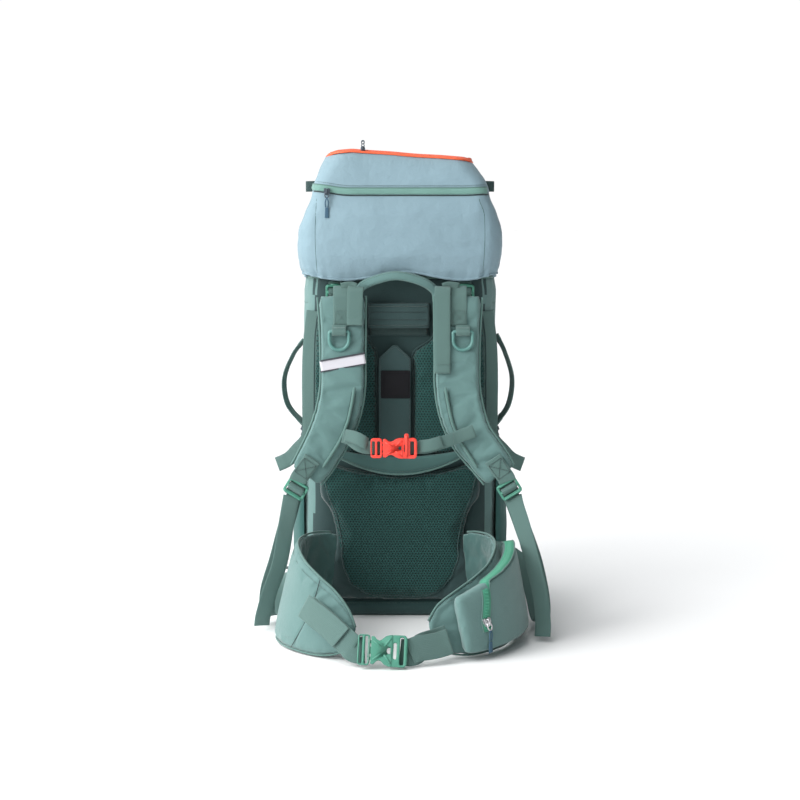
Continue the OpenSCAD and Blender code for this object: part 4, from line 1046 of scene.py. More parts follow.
def back():
    y0 = REAR - 0.3
    outlines = {}
    for s, inner in ((-1, -37), (1, 21)):
        outlines[s] = [(inner, 268), (inner, 330), (inner, 395), (inner, 428), (s * 50, 450), (s * 54, 478),
                (s * 56, 499), (s * 92, 500),
                       (s * 124, 498), (s * 133, 462), (s * 135, 420), (s * 136, 340), (s * 136, 300), (s * 133, 268),
                               (s * 90, 263), (s * 60, 263)]
    piping = Shape()
    for s, label in ((-1, "left"), (1, "right")):
        o, loop = star_pad(f"back_pad_{label}", outlines[s], y0, 14.5, 12, MESH, "back_pads", cap=2.5)
        rim = [Vector((p.x, y0 - 4.0, p.z)) for p in loop]
        piping.rod(rim, 1.15, 8, wrap=True)
    arch = [(138 * math.sin(math.radians(a)) / math.sin(math.radians(40)) * 0.86,
            236 + 30 * (1 - math.cos(math.radians(a * 1.6))))
            for a in range(40, -41, -10)]
    outline = [(-124, 32), (-60, 30), (0, 29.5), (60, 30), (124, 32), (132, 60), (112, 100), (103, 135), (112, 175),
            (129, 205)] + arch + \
              [(-129, 205), (-112, 175), (-103, 135), (-112, 100), (-132, 60)]
    o, loop = star_pad("lumbar_pad_mesh", outline, y0, 19.5, 16, MESH, "lumbar_pad", rings=20, cap=3.0,
            extra=(PANEL,))
    # Mesh panel in the middle of the lumbar pad, plain cloth round it
    half = [(20, 33.5), (40, 35), (60, 43), (78, 60), (87, 83), (93, 106), (98, 137), (105, 168), (115, 200),
            (123, 229), (119, 242), (98, 249),
            (60, 241), (20, 236)]
    edge = half + [(-x, z) for x, z in half[::-1]]
    line = catmull([[x, -118.6, z] for x, z in edge + [edge[0]]], 6)

    def inside(p):
        hit = False
        for a, b in zip(line, line[1:]):
            if (a[2] > p.z) != (b[2] > p.z) and p.x < a[0] + (p.z - a[2]) / (b[2] - a[2]) * (b[0] - a[0]):
                hit = not hit
        return hit
    paint(o, lambda c, n: 0 if inside(c) else 1)
    carve(o, line, 3, 2.2)
    points = mesh_points(o)
    tree = kdtree.KDTree(len(points))
    for i, p in enumerate(points):
        tree.insert(p, i)
    tree.balance()
    surface = [points[tree.find(Vector((p[0], -121, p[2])))[1]] for p in line[::3]]
    piping.rod(vectors(catmull([list(p + Vector((0, -0.4, 0))) for p in surface], 2)), 1.0, 6)
    # Crescent flap over the top of the lumbar pad
    flap = Shape()
    rings = []
    for i in range(41):
        a = math.radians(-42 + 84 * i / 40)
        x0, z0 = 104 * math.sin(a) / math.sin(math.radians(42)), 266 - 33 * math.cos(a * 2.1)
        z1 = 277 - 14 * math.cos(a * 2.0)
        puffed = 1.6 * math.sin(math.pi * i / 40)
        ring = []
        for k in range(14):
            t = k / 13
            bulge = math.sin(math.pi * t) ** 0.5
            ring.append(Vector((x0, -119.2 - 2.4 * bulge - puffed * bulge - 0.3 * math.sin(i * 1.1),
                    z0 + (z1 - z0) * t)))
        rings.append(ring + [Vector((p.x, -118.2, p.z)) for p in ring[::-1]])
    flap.loft(rings, caps=True)
    low = [r[1] + Vector((0, -0.6, 0)) for r in rings]
    flap.rod(low, 1.5, 8, mat=1)
    flap.piece("lumbar_cover_cloth", [PAD_SHADE, PIPING], "pack", "lumbar_cover", "pad_cloth")
    stitch("pack", [r[3] + Vector((0, -0.9, 0)) for r in rings], (0, -1, 0))
    piping.piece("back_pad_piping", PIPING_DARK, "pack")
    # Dark panel with its ladder of webbing
    panel = Shape()
    rows = []
    for i in range(25):
        z = 453 + 52 * i / 24
        rows.append([Vector((x, y0 - 2.6 - 0.5 * bumpy((x, 0, z), 20, 3), z)) for x in range(-50, 47, 4)]
                    + [Vector((x, y0, z)) for x in range(46, -51, -4)])
    panel.loft(rows, caps=True)
    for z in (462, 479, 496):
        panel.strap([Vector((x, y0 - 3.8 - 0.7 * abs(math.sin(x / 14)), z)) for x in range(-47, 44, 3)], (0, 0, 1),
                13, 1.4, mat=1)
        for x in (-46, -18, 14, 42):
            stitch("pack", [Vector((x, y0 - 5.1, z - 5)), Vector((x, y0 - 5.1, z + 5))], (0, -1, 0), 2.4, True)
    panel.piece("torso_ladder_webbing", [PANEL, WEB_DARK], "pack", "torso_ladder", "dark_webbing")
    # Tongue with a pointed top
    y1 = y0 - 15
    tongue = Shape()
    outline = [(-25, 250), (25, 250), (25, 418), (21, 423), (3.4, 439), (-3.4, 439), (-21, 423), (-25, 418)]
    m = axes((1, 0, 0), (0, 0, 1), (0, -1, 0), (-8, y1 - 1.5, 0))
    tongue.add(*plate([outline], 1.4, 0.7, m))
    tongue.piece("torso_strap_webbing", PANEL, "pack", "torso_strap", "dark_webbing")
    edge = ((-31, 254), (-31, 417), (-27, 421.5), (-10.5, 436), (-5.5, 436), (11, 421.5), (15, 417), (15, 254))
    stitch("pack", [Vector((x, y1 - 3.0, z)) for x, z in edge], (0, -1, 0), 3.4, True)
    patch = Shape().add(*plate([round_box(46, 44, 2)], 0.8, 0.4,
            axes((1, 0, 0), (0, 0, 1), (0, -1, 0), (-7, y1 - 3.7, 378))))
    patch.add(*plate([round_box(40, 38, 2), round_box(37.6, 35.6, 1.5)], 0.35, 0.15,
            axes((1, 0, 0), (0, 0, 1), (0, -1, 0), (-7, y1 - 4.6, 378))))
    patch.piece("torso_patch_rubber", PATCH, "pack", "torso_patch", "label_black")


back()


def haul():
    path = vectors(catmull([[-68, -123, 509], [-65.5, -126, 524], [-50, -132, 538], [-8, -137, 549.5],
            [32, -132, 541], [54, -126, 526],
                            [58, -123, 509]], 10))
    rings = []
    for i, (p, t, s, n) in enumerate(frames(path, (0, 1, 0))):
        thick = 1 + 0.25 * math.sin(math.pi * i / (len(path) - 1))
        rings.append(superellipse(p, n, s, 12.5, 6.0 * thick, 20, 0.7, 0.8))
    o = Shape().loft(rings).piece("haul_loop_pad", PAD, "haul_handle", "haul_loop", "webbing")
    seam = [r[0].lerp(r[-1], 0.5) for r in rings]
    other = [r[9].lerp(r[10], 0.5) for r in rings]
    Shape().rod(seam, 1.0, 6).rod(other, 1.0, 6).piece("haul_loop_piping", PIPING, "haul_handle")
    stitch("haul_handle", [r[17] for r in rings], (0, -1, 0.2))


haul()

# ---------------------------------------------------------------- harness

PAD_ROWS = [[90.5, -140, 521, 77], [89, -144, 470, 73], [88.5, -151, 420, 71], [89, -158, 377, 71],
        [96, -168, 338, 70], [110, -177, 303, 66]]


def pad_frames(s, end_x, steps=8):
    rows = catmull(PAD_ROWS + [[end_x - 17, -184, 268, 62], [end_x, -188, 243, 56]], steps)
    path = [Vector((s * p[0], p[1], p[2])) for p in rows]
    out = []
    for i, (p, t, n, q) in enumerate(frames(path, (0, -1, -0.1))):
        side = t.cross(n)
        if side.x * s < 0:
            side = -side
        out.append((p, t, side, n, rows[i][3]))
    return out


def on_pad(fr, share, across, off):
    """Point on a pad: share of the way down, across from -1 (inner edge) to 1, off out from its middle in
    millimetres."""
    x = share * (len(fr) - 1)
    i = min(int(x), len(fr) - 2)
    (pa, _, sa, na, wa), (pb, _, sb, nb, wb) = fr[i], fr[i + 1]
    t = x - i
    return pa.lerp(pb, t) + sa.lerp(sb, t) * (across * (wa + (wb - wa) * t) / 2) + na.lerp(nb, t) * off


def shoulder(s, name, end_x):
    fr = pad_frames(s, end_x)
    last = len(fr) - 1
    rings = []
    for i, (p, t, side, n, w) in enumerate(fr):
        end = min(1, (i + 0.35) / 3.0, (last - i + 0.35) / 4.0)
        rings.append(superellipse(p, side, n, w * (0.80 + 0.20 * math.sqrt(end)) - 3,
                12.6 * (0.35 + 0.65 * math.sqrt(end)), 28, 0.5, 0.62))
    shape = Shape().loft(rings)
    o = shape.piece(f"shoulder_pad_{name}_foam", [PAD, MESH_LIGHT, PAD_SHADE], "pack", f"shoulder_pad_{name}",
            "pad_cloth")
    edge = [fr[i][0] + fr[i][2] * (k * (fr[i][4] / 2 - 2.5)) for i in range(0, last + 1, 2) for k in (-1, 1)]
    tree = kdtree.KDTree(len(edge))
    for i, p in enumerate(edge):
        tree.insert(p, i)
    tree.balance()
    puff(o, 2.4, lambda p: 1.0 if tree.find(p)[2] < 6 else 0.0, voxel=0.0045)
    back = Vector((0, 1, 0.1))
    paint(o, lambda c, n: 1 if n.dot(back) > 0.35 else 0)
    for across in (-0.87, 0.87):
        line = [on_pad(fr, k / 40, across, 8) for k in range(41)]
        carve(o, line, 2.2, 1.5)
    fold = [on_pad(fr, 0.535, a / 10, 8) for a in range(-9, -3)]
    carve(o, fold, 1.6, 1.2)
    seams = Shape()
    for across in (-1, 1):
        seams.rod([on_pad(fr, k / 60, across * 0.985, -1.5) for k in range(1, 60)], 1.7, 8)
    seams.piece(f"shoulder_pad_{name}_binding", PIPING, "pack")
    for across in (-0.9, 0.9):
        pts = [on_pad(fr, 0.02 + 0.96 * k / 50, across * 0.92, 7.0) for k in range(51)]
        stitch("pack", pts, [on_pad(fr, 0.02 + 0.96 * k / 50, across, 9)
                - on_pad(fr, 0.02 + 0.96 * k / 50, across, 8) for k in range(51)])
    return fr


PADS = {-1: shoulder(-1, "left", 146), 1: shoulder(1, "right", 154)}


def yoke():
    shape = Shape()
    rows = []
    for i in range(21):
        z = 467 + 38 * i / 20
        rows.append([Vector((x, -122 - 0.6 * bumpy((x, 0, z), 22, 2), z)) for x in range(-50, 47, 4)]
                    + [Vector((x, -119.2, z)) for x in range(46, -51, -4)])
    shape.loft(rows, caps=True)
    for z in (471, 501):
        shape.rod([Vector((x, -122.3, z)) for x in range(-49, 46, 4)], 1.0, 6, mat=1)
    shape.piece("harness_yoke_webbing", [PANEL, WEB_DARK], "pack", "harness_yoke", "dark_webbing")
    for z in (480, 492):
        stitch("pack", [Vector((x, -122.8, z)) for x in range(-47, 45, 4)], (0, -1, 0), 3.4, True)


yoke()


def lifters():
    off = 8.3
    path = catmull([[91, -144 - off, 473], [91, -142 - off, 505], [91, -141 - off, 521], [91, -140, 533],
            [91, -130.5, 528],
                    [92, -127.5, 515]], 6)
    shape = Shape()
    for s in (-1, 1):
        shape.strap(vectors([[s * p[0], *p[1:]] for p in path]), (1, 0, 0), 24.5, 1.6, hem_start=10)
        box_stitch("pack", (s * 91, -153.6, 486), (1, 0, 0), (0, 0, 1), (0, -1, 0), 18, 20, dark=False)
    right = catmull([[66, -146.5, 533], [65.5, -154, 526], [65.5, -157, 500], [65.5, -162, 450], [65.5, -166, 400]],
            8)
    left = catmull([[-68, -146.5, 533], [-69, -151.5, 526], [-70, -153, 500], [-70, -154.5, 484], [-70, -157, 474]],
            6)
    shape.strap(vectors(right), (1, 0, 0.02), 24.5, 1.6, hem=16, soft=0.5)
    shape.strap(vectors(left), (1, 0, -0.03), 24.5, 1.6, hem=9, soft=0.4)
    # The webbing doubles back over the top of each pad
    for s, x in ((-1, -68), (1, 66)):
        fold = catmull([[x, -146.5, 533], [s * 76, -146.2, 535.5], [s * 91, -144.5, 533.5]], 6)
        shape.strap(vectors(fold), (0, -0.5, 1), 12, 1.6)
    shape.piece("load_lifter_webbing", WEB, "pack", "load_lifters", "webbing")
    stitch("pack", [Vector((x, -166.9, 414)) for x in (55, 60, 65, 70, 76)], (0, -1, 0), 2.8)


lifters()


def label_and_rails():
    fr = PADS[-1]
    label = Shape()
    path = [on_pad(fr, 0.30, a / 9.2, 8.6) + Vector((0, 0, -2.2 * a / 10 * 3.0)) for a in range(-9, 10)]
    label.strap(path, (0, 0.1, 1), 15, 0.6)
    for z in (-8.4, 8.4):
        label.strap([p + Vector((0, -0.2, z)) for p in path], (0, 0.1, 1), 2.6, 0.9, mat=1)
    label.piece("strap_label_tape", [LABEL, LABEL_EDGE], "pack", "strap_label", "label_white")
    rail = catmull([[70, -169.5, 379], [75, -175, 350], [82, -180.5, 322], [96, -187, 292], [119, -194, 257]], 10)
    shape = Shape()
    for s in (-1, 1):
        path = [Vector((s * p[0], p[1], p[2])) for p in rail]
        shape.rod(path, lambda t: 2.6 * min(1, 0.4 + 12 * t, 0.4 + 12 * (1 - t)), 10)
        for off in (-3.4, 3.4):
            side = [p + Vector((s * off * 1.05, 2.2, -off * 0.2)) for p in path[3:-4]]
            shape.rod(side, 0.55, 6, mat=1)
    shape.piece("sternum_rail_piping", [PIPING, PAD_SHADE], "pack", "sternum_rails", "pad_cloth")


label_and_rails()


def ladder_lock_shape(shape, w, t, m, bars=True):
    """Ladder lock drawn like its CAD: bars across local x, length along local y, its face towards local z,
    out to t."""
    slots = [round_box(w + 2, 5.6, 1.6, (0, y)) for y in (5.3, -4.7)]
    shape.add(*plate([round_box(w + 9.4, 25.4, 4.5)] + slots, t / 2, 1.1, m @ Matrix.Translation((0, 0, t / 2))))
    for y, r in ((0.3, 1.5), (10.6, 1.9), (-10.6, 1.7)):
        shape.rod([m @ Vector((x, y, t + 0.1)) for x in (-w / 2 - 2.6, -w / 2, 0, w / 2, w / 2 + 2.6)], r, 10)
    for k in range(-4, 5):
        shape.rod([m @ Vector((k * w / 9.5, -0.9, t + 1.3)), m @ Vector((k * w / 9.5, 1.7, t + 1.3))], 0.5, 6)
    shape.rod([m @ Vector((x, 12.4, t * 0.9)) for x in (-w / 3, 0, w / 3)], 1.7, 8)


def buckle_plug_shape(shape, w, h, k, m):
    """Plug of a side-release buckle: bar end, guide tongue and two sprung arms. It points along local +x."""
    z = h / 16
    body = round_box(17.6, 30.4 * z, 4.5, (-26, 0))
    slots = [round_box(4.6, w + 1.5, 1.4, (x, 0)) for x in (-30.4, -22.4)]
    shape.add(*plate([body] + slots, 3.1 * k, 1.2, m))
    shape.rod([m @ Vector((-26.4, y, 1.3 * k)) for y in (-w / 2, 0, w / 2)], 1.7 * k, 10)
    shape.add(*plate([[(-18, -3.6 * z), (4, -2.8 * z), (6, -1.6 * z), (6, 1.6 * z), (4, 2.8 * z), (-18, 3.6 * z)]],
            1.8 * k, 0.7, m))
    for s in (-1, 1):
        arm = [(-18, s * 9.6 * z), (-10, s * 9.3 * z), (-4, s * 9.3 * z), (0, s * 10.0 * z), (3.5, s * 9.0 * z),
                (4.8, s * 7.6 * z),
               (4.4, s * 6.4 * z), (-4, s * 6.4 * z), (-10, s * 6.6 * z), (-18, s * 6.6 * z)]
        shape.add(*plate([arm if s > 0 else arm[::-1]], 1.8 * k, 0.7, m))


def buckle_socket_shape(shape, w, h, k, m, whistle=False):
    """Socket: waisted housing with side windows and a ribbed cross, and a bar end with one slot."""
    z = h / 16
    half = [(-15.8, 13.2), (-12, 13.8), (-7.5, 10.6), (-4, 9.6), (-1, 10.4), (4, 13.6), (9, 15.2), (14, 15.7)]
    outline = [(x, y * z) for x, y in half] + [(x, -y * z) for x, y in reversed(half)]
    for s in (-1, 1):
        shape.add(*plate([outline, round_box(8, 7.4 * z, 3.4 * z, (10.6, 0))], 0.95 * k, 0.5,
                m @ Matrix.Translation((0, 0, s * 3.4 * k))))
    for s in (-1, 1):
        rim = [(-15.6, s * 12.2 * z), (-15.6, s * 13.4 * z), (-12, s * 13.9 * z), (-9.5, s * 12.4 * z),
                (-11, s * 11.4 * z)]
        shape.add(*plate([rim if s < 0 else rim[::-1]], 3.9 * k, 0.5, m))
        front = [(3.5, s * 13.2 * z), (9, s * 15.2 * z), (15, s * 15.7 * z), (15, s * 12.4 * z), (8, s * 11.6 * z)]
        shape.add(*plate([front if s < 0 else front[::-1]], 3.9 * k, 0.5, m))
        for a, b in (((-13, s * 9.5 * z), (-1, s * 3.2 * z)), ((13, s * 12.2 * z), (3, s * 4.2 * z))):
            shape.rod([m @ Vector((*a, 4.0 * k)), m @ Vector(((a[0] + b[0]) / 2, (a[1] + b[1]) / 2, 4.5 * k)),
                    m @ Vector((*b, 4.2 * k))], 1.0 * k, 8)
    shape.add(*plate([round_box(23.6, 31.6 * z, 5.2, (24, 0)), round_box(6, w + 1.6, 2, (28.6, 0)),
            round_box(4.6, w * 0.62, 2, (18.8, 0))],
                     3.5 * k, 1.2, m))
    shape.rod([m @ Vector((34.4, y, 0.6 * k)) for y in (-w / 2, 0, w / 2)], 1.9 * k, 10)
    if whistle:
        lip = [(16.6, 15), (16.6, 20.6), (18, 22.2), (22, 22.2), (23.4, 20.6), (23.4, 15)]
        shape.add(*plate([lip], 3.6, 1.0, m @ Matrix.Translation((0, 0, 0.6))))
        shape.rod([m @ Vector((20, y, 4.2)) for y in (-13, -6, 4, 15, 20)], 2.2, 10)


def shoulder_lock_matrix(s):
    """Where the ladder lock at the foot of a shoulder pad sits: local z faces away from the pack."""
    turn = Matrix.Rotation(-s * math.radians(32), 4, "Y")
    return Matrix.Translation((-160 if s < 0 else 168, -193.5, 225)) @ turn @ axes((1, 0, 0), (0, 0, 1), (0, -1, 0),
            (0, 0, 0))


def buckles():
    # Sternum: red, with the whistle; its front faces -Y
    m = axes((1, 0, 0), (0, 0, 1), (0, -1, 0), (-10, -209, 290))
    shape = Shape()
    buckle_socket_shape(shape, 20, 16, 1.0, m, True)
    shape.piece("sternum_socket_moulding", RED, "pack", "sternum_socket", "buckle_red")
    shape = Shape()
    buckle_plug_shape(shape, 20, 16, 1.0, m)
    shape.piece("sternum_plug_moulding", RED, "sternum_release", "sternum_plug", "buckle_red")
    # Belt buckle leans back and dips to the right
    dip, lean = math.radians(3), math.radians(20)
    turn = Matrix.Rotation(dip, 4, "Y") @ Matrix.Rotation(-lean, 4, "X")
    m = Matrix.Translation((-26, -404, 26)) @ turn @ axes((1, 0, 0), (0, 0, 1), (0, -1, 0), (0, 0, 0))
    shape = Shape()
    buckle_socket_shape(shape, 38, 23, 1.3, m)
    shape.piece("belt_socket_moulding", GREEN, "pack", "belt_buckle_socket", "buckle_green")
    shape = Shape()
    buckle_plug_shape(shape, 38, 23, 1.3, m)
    shape.piece("belt_plug_moulding", GREEN, "belt_release", "belt_buckle_plug", "buckle_green")
    # Front clips of the lid
    tilt = math.atan2(572 - 486, 124 + 128)
    sockets, plugs = Shape(), Shape()
    for s in (-1, 1):
        turn = Matrix.Rotation(-tilt, 4, "X") @ Matrix.Rotation(math.radians(90), 4, "Y")
        m = Matrix.Translation((s * 78, 124, 486)) @ turn @ axes((1, 0, 0), (0, 0, 1), (0, -1, 0), (0, 0, 0))
        buckle_socket_shape(sockets, 20, 16, 1.0, m)
        buckle_plug_shape(plugs, 20, 16, 1.0, m)
    sockets.piece("lid_front_socket_mouldings", GREEN, "pack", "lid_front_sockets", "buckle_green")
    plugs.piece("lid_front_plug_mouldings", GREEN, "lid", "lid_front_plugs", "buckle_green")
    locks = Shape()
    for s in (-1, 1):
        turn = Matrix.Rotation(math.radians(4), 4, "X")
        ladder_lock_shape(locks, 20, 4, Matrix.Translation((s * 102, -104.5, 522)) @ turn @ axes((1, 0, 0), (0, 0, 1),
                (0, -1, 0), (0, 0, 0)))
    locks.piece("lid_anchor_lock_mouldings", GREEN, "pack", "lid_anchor_buckles", "buckle_green")
    locks = Shape()
    for s in (-1, 1):
        ladder_lock_shape(locks, 20, 4, axes((0, s, 0), (0, 0, 1), (s, 0, 0), (s * 154.8, -41, 288)))
    locks.piece("side_handle_lock_mouldings", NAVY, "pack", "side_handle_buckles", "slider_dark")
    locks = Shape()
    for s in (-1, 1):
        m = shoulder_lock_matrix(s)
        ladder_lock_shape(locks, 25, 5, m)
    locks.piece("shoulder_lock_mouldings", GREEN, "pack", "shoulder_ladder_locks", "buckle_green")
    # D-rings, and the webbing loops that hold them
    keepers = Shape()
    for x, side in ((-94, "left"), (97, "right")):
        ring = [Vector((x + 15 * math.cos(a), -159.4, 451 + 15 * math.sin(a)))
                for a in (math.radians(180 + 6 * k) for k in range(31))]
        up = [Vector((x + 15, -159.4, z)) for z in (454, 457, 460, 462.6)]
        over = [Vector((x + dx, -159.4, 464)) for dx in (13.6, 8, 0, -8, -13.6)]
        path = ring + up + over + [Vector((2 * x - p.x, p.y, p.z)) for p in up[::-1]]
        Shape().rod(path, 2.8, 14, wrap=True).piece(f"d_ring_{side}_moulding", RING, f"{side}_ring", f"d_ring_{side}",
                "buckle_green")
        loop = [[x, -155.2, 474], [x, -157.4, 470.6], [x, -162.6, 469.4], [x, -164.4, 464], [x, -162.6, 459.2],
                [x, -158.6, 458.6], [x, -155.6, 463],
                [x, -153.8, 468]]
        keepers.strap(vectors(catmull(loop, 5)), (1, 0, 0), 21.5, 1.2)
        stitch("pack", [Vector((x + k, -163.9, 468.6)) for k in (-9, -4, 0, 4, 9)], (0, -1, 0.4), 2.6)
    keepers.piece("d_ring_keeper_webbing", WEB, "pack", "d_ring_keepers", "webbing")


buckles()

# ---------------------------------------------------------------- webbing


def corner_point(a, z, out=0.0):
    r = 48 + 2.2 + out
    return [-(154 - 48) - r * math.cos(math.radians(a)), REAR + 48 - r * math.sin(math.radians(a)), z]


def straps():
    anchors = Shape()
    for s in (-1, 1):
        path = catmull([[s * 102, -101.3, 503], [s * 102, -102, 515], [s * 102, -103, 527], [s * 102, -105, 539]], 5)
        anchors.strap(vectors(path), (1, 0, 0), 20, 1.6, hem_start=8)
        over = catmull([[s * 102, -104.6, 516], [s * 102, -109.4, 519.5], [s * 102, -110.4, 523],
                [s * 102, -107, 527], [s * 102, -105.4, 531]], 5)
        anchors.strap(vectors(over), (1, 0, 0), 19.6, 1.4)
        box_stitch("pack", (s * 102, -102.9, 508), (1, 0, 0), (0, 0, 1), (0, -1, 0), 14, 7, False)
    anchors.piece("lid_anchor_webbing_strap", WEB, "pack", "lid_anchor_webbing", "webbing")
    handles = Shape()
    left = catmull([[-155.5, -44, 441], [-172, -52, 418], [-186, -54, 380], [-181, -48, 338], [-156.5, -40, 306]], 10)
    right = catmull([[155.5, -44, 449], [168, -54, 424], [180, -56, 382], [175, -48, 338], [156.5, -40, 308]], 10)
    handles.strap(vectors(left), (0.3, 1, 0), 20, 1.7, hem_start=12, hem=14)
    handles.strap(vectors(right), (-0.3, 1, 0), 20, 1.7, hem_start=12, hem=14)
    handles.piece("side_handle_webbing", WEB, "pack", "side_handles", "webbing")
    corner = Shape()
    path = [corner_point(54, 492, 1), corner_point(48, 440, 4), corner_point(46, 385, 5), corner_point(46, 330, 5),
            corner_point(44, 292, 5),
            [-163, -90, 270], [-178, -90, 255], [-196, -88, 246]]
    corner.strap(vectors(catmull(path, 8)), (1, -0.3, -0.05), 24, 1.6, hem=16, soft=0.4)
    corner.strap(vectors(flipped(catmull(path, 8))), (-1, -0.3, -0.05), 24, 1.6, hem=16, soft=0.4)
    corner.piece("stabiliser_webbing", WEB, "pack", "stabiliser_straps", "webbing")
    left = [corner_point(38, 92, 1), [-168, -98, 86], [-188, -114, 58], [-200, -134, 26], [-206, -156, 15],
            [-208, -174, 28],
            [-205, -182, 66], [-191, -186, 112], [-178, -188, 160], [-163, -188, 214]]
    right = flipped([corner_point(38, 108, 1)]) + [[172, -98, 106], [200, -114, 84], [211, -136, 44], [216, -172, 17],
            [218, -212, 20],
            [218, -222, 56], [207, -212, 112], [189, -197, 165], [171, -188, 214]]
    tails = ([[-167.4, -192.9, 213], [-170, -199, 198], [-175, -204, 170], [-185, -204, 112], [-201, -200, 66],
            [-212, -196, 28], [-215, -191, 9]],
             [[175.4, -192.9, 213], [179, -202, 198], [188, -214, 170], [204, -231, 112], [214, -244, 66],
                     [217, -254, 28], [216, -260, 9]])
    for name, main, tail, s, tail_side in (("left", left, tails[0], -1, (1, 0.3, 0.2)),
            ("right", right, tails[1], 1, (1, -0.5, -0.2))):
        def side(t, s=s):
            k = min(1, t / 0.35)
            return Vector((0, 0, 1)).lerp(Vector((1, -s * 0.2, 0.2 if s < 0 else -0.2)), k)
        shape = Shape().strap(vectors(catmull(main, 8)), side, 25, 1.6, soft=0.5)
        shape.strap(vectors(catmull(tail, 9)), tail_side, 25, 1.6, hem=20, soft=0.7)
        # The webbing comes up behind the lock, over its middle bar and down again
        m = shoulder_lock_matrix(s)
        bar = [(-14, -2.4), (-6, -2.4), (1.5, -1.6), (4.9, 1.4), (4.3, 5.4), (0.3, 7.6), (-3.5, 5.4), (-4.9, 2.0),
                (-8, -0.4), (-14, -0.8)]
        shape.strap(vectors(catmull([list(m @ Vector((0, y, z))) for y, z in bar], 5)), m.col[0].xyz, 24.4, 1.5)
        shape.piece(f"lower_webbing_{name}_strap", WEB, "pack", f"lower_webbing_{name}", "webbing")
    anchors = Shape()
    for s, end in ((-1, 146), (1, 154)):
        line = [[-12, -196.5, 272], [-1, -198, 256], [8, -199.6, 244], [11, -199.9, 237]]
        path = vectors(catmull([[s * (p[0] + end), p[1], p[2]] for p in line], 6))
        anchors.strap(path, (s, 0, 0.65), 27, 2.4)
        m = shoulder_lock_matrix(s)
        anchors.strap([m @ Vector((0, y, -0.9)) for y in (12, 8, 4, 0.5)], m.col[0].xyz, 26, 1.2)
        a, b = path[2], path[11]
        t = (b - a).normalized()
        side = Vector((s, 0, 0.65)).normalized()
        box_stitch("pack", (a + b) / 2 + Vector((0, -1.9, 0)), side - t * side.dot(t), t, (0, -1, 0.1), 22,
                (b - a).length - 2)
    anchors.piece("lock_anchor_webbing", WEB, "pack", "lock_anchors", "webbing")
    loops = Shape()
    x = 154.3 + 22 + 1.1
    path = catmull([[x, -62, 72], [x + 14, -62, 70], [x + 25, -62, 52], [x + 22, -62, 28], [x + 8, -62, 14],
            [x, -62, 14]], 7)
    for s in (-1, 1):
        loops.strap(vectors([[s * p[0], *p[1:]] for p in path]), (0, 1, 0), 15, 1.5)
        for z in (16, 70):
            stitch("pack", [Vector((s * (x + 1.2), y, z)) for y in (-68, -62, -56)], (s, 0, 0), 2.6)
    loops.piece("side_loop_webbing", WEB_DARK, "pack", "side_loops", "dark_webbing")
    front = Shape()
    tilt = math.atan2(572 - 486, 124 + 128)
    point = lambda s, u, v: [s * 78, 124 + u * math.sin(tilt) + v * math.cos(tilt),
            486 + u * math.cos(tilt) - v * math.sin(tilt)]
    low = Shape()
    for s in (-1, 1):
        front.strap(vectors(catmull([[s * 78, 133.5, 625], [s * 78, 134, 585], [s * 78, 137, 550], point(s, 36, 4.8),
                point(s, 20, 4.8)], 6)),
                    (1, 0, 0), 20, 1.6, hem_start=16)
        box_stitch("lid", (s * 78, 135.6, 614), (1, 0, 0), (0, 0, 1), (0, 1, 0), 14, 14, dark=False)
        low.strap(vectors(catmull([[s * 78, 107.3, 420], [s * 78, 107.4, 438], point(s, -35, -4.8),
                point(s, -24, -4.8)], 6)), (1, 0, 0), 20, 1.6,
                  hem_start=14)
        box_stitch("pack", (s * 78, 109.2, 428), (1, 0, 0), (0, 0, 1), (0, 1, 0), 14, 12, dark=False)
    front.piece("lid_front_webbing", WEB, "lid", "lid_front_straps", "webbing")
    low.piece("lid_socket_webbing_strap", WEB, "pack", "lid_socket_webbing", "webbing")
    chest = Shape()
    bx, z0 = -10, 290
    chest.strap(vectors(catmull([[-88, -192.5, 306], [-78, -196, 303], [-66, -201.5, 295], [-52, -202.5, z0],
            [bx - 19, -202.5, z0]], 7)), (0, 0, 1), 20, 1.6)
    chest.strap(vectors(catmull([[bx + 26, -202.5, z0], [42, -202.5, 291], [70, -199, 299], [92, -196, 307],
            [114, -197, 315]], 8)), (-0.2, 0, 1), 20, 1.6,
                hem=14)
    for s, path in ((-1, [[-84, -196.4, 308], [-74, -201, 307], [-64, -205.5, 304], [-55, -207, 299],
            [-50, -204.5, 296]]),
                    (1, [[30, -204.2, 292], [44, -207.2, 294], [56, -206, 297], [64, -203.2, 299]])):
        chest.strap(vectors(catmull(path, 6)), (0, 0.25, 1), 19, 1.4)
    for x, y, z, s in ((-84, -195.4, 305, -1), (82, -198.8, 304, 1)):
        stitch("pack", [Vector((x, y - 0.8, z - 7)), Vector((x, y - 0.8, z + 7))], (0, -1, 0), 2.4)
    chest.piece("sternum_webbing_strap", WEB, "pack", "sternum_webbing", "webbing")


straps()

# ---------------------------------------------------------------- hip belt

WING = {-1: ([[-112, -134, 26], [-150, -148, 12], [-178, -190, 4], [-187, -236, 2], [-177, -282, 2], [-152, -320, 2],
        [-118, -347, 2],
              [-88, -361, 9], [-70, -368, 26]],
             [[-98, -134, 146], [-126, -150, 150], [-147, -194, 152], [-152, -240, 149], [-140, -284, 134],
                     [-118, -317, 118], [-92, -340, 99],
              [-72, -354, 74], [-63, -364, 52]]),
        1: ([[112, -134, 26], [142, -148, 12], [162, -190, 4], [168, -236, 2], [157, -282, 2], [132, -320, 2],
                [100, -345, 2], [68, -358, 9],
             [44, -364, 26]],
            [[98, -134, 146], [120, -150, 150], [138, -194, 152], [142, -240, 146], [130, -284, 130],
                    [108, -317, 116], [80, -338, 100],
             [54, -350, 82], [40, -358, 60]])}


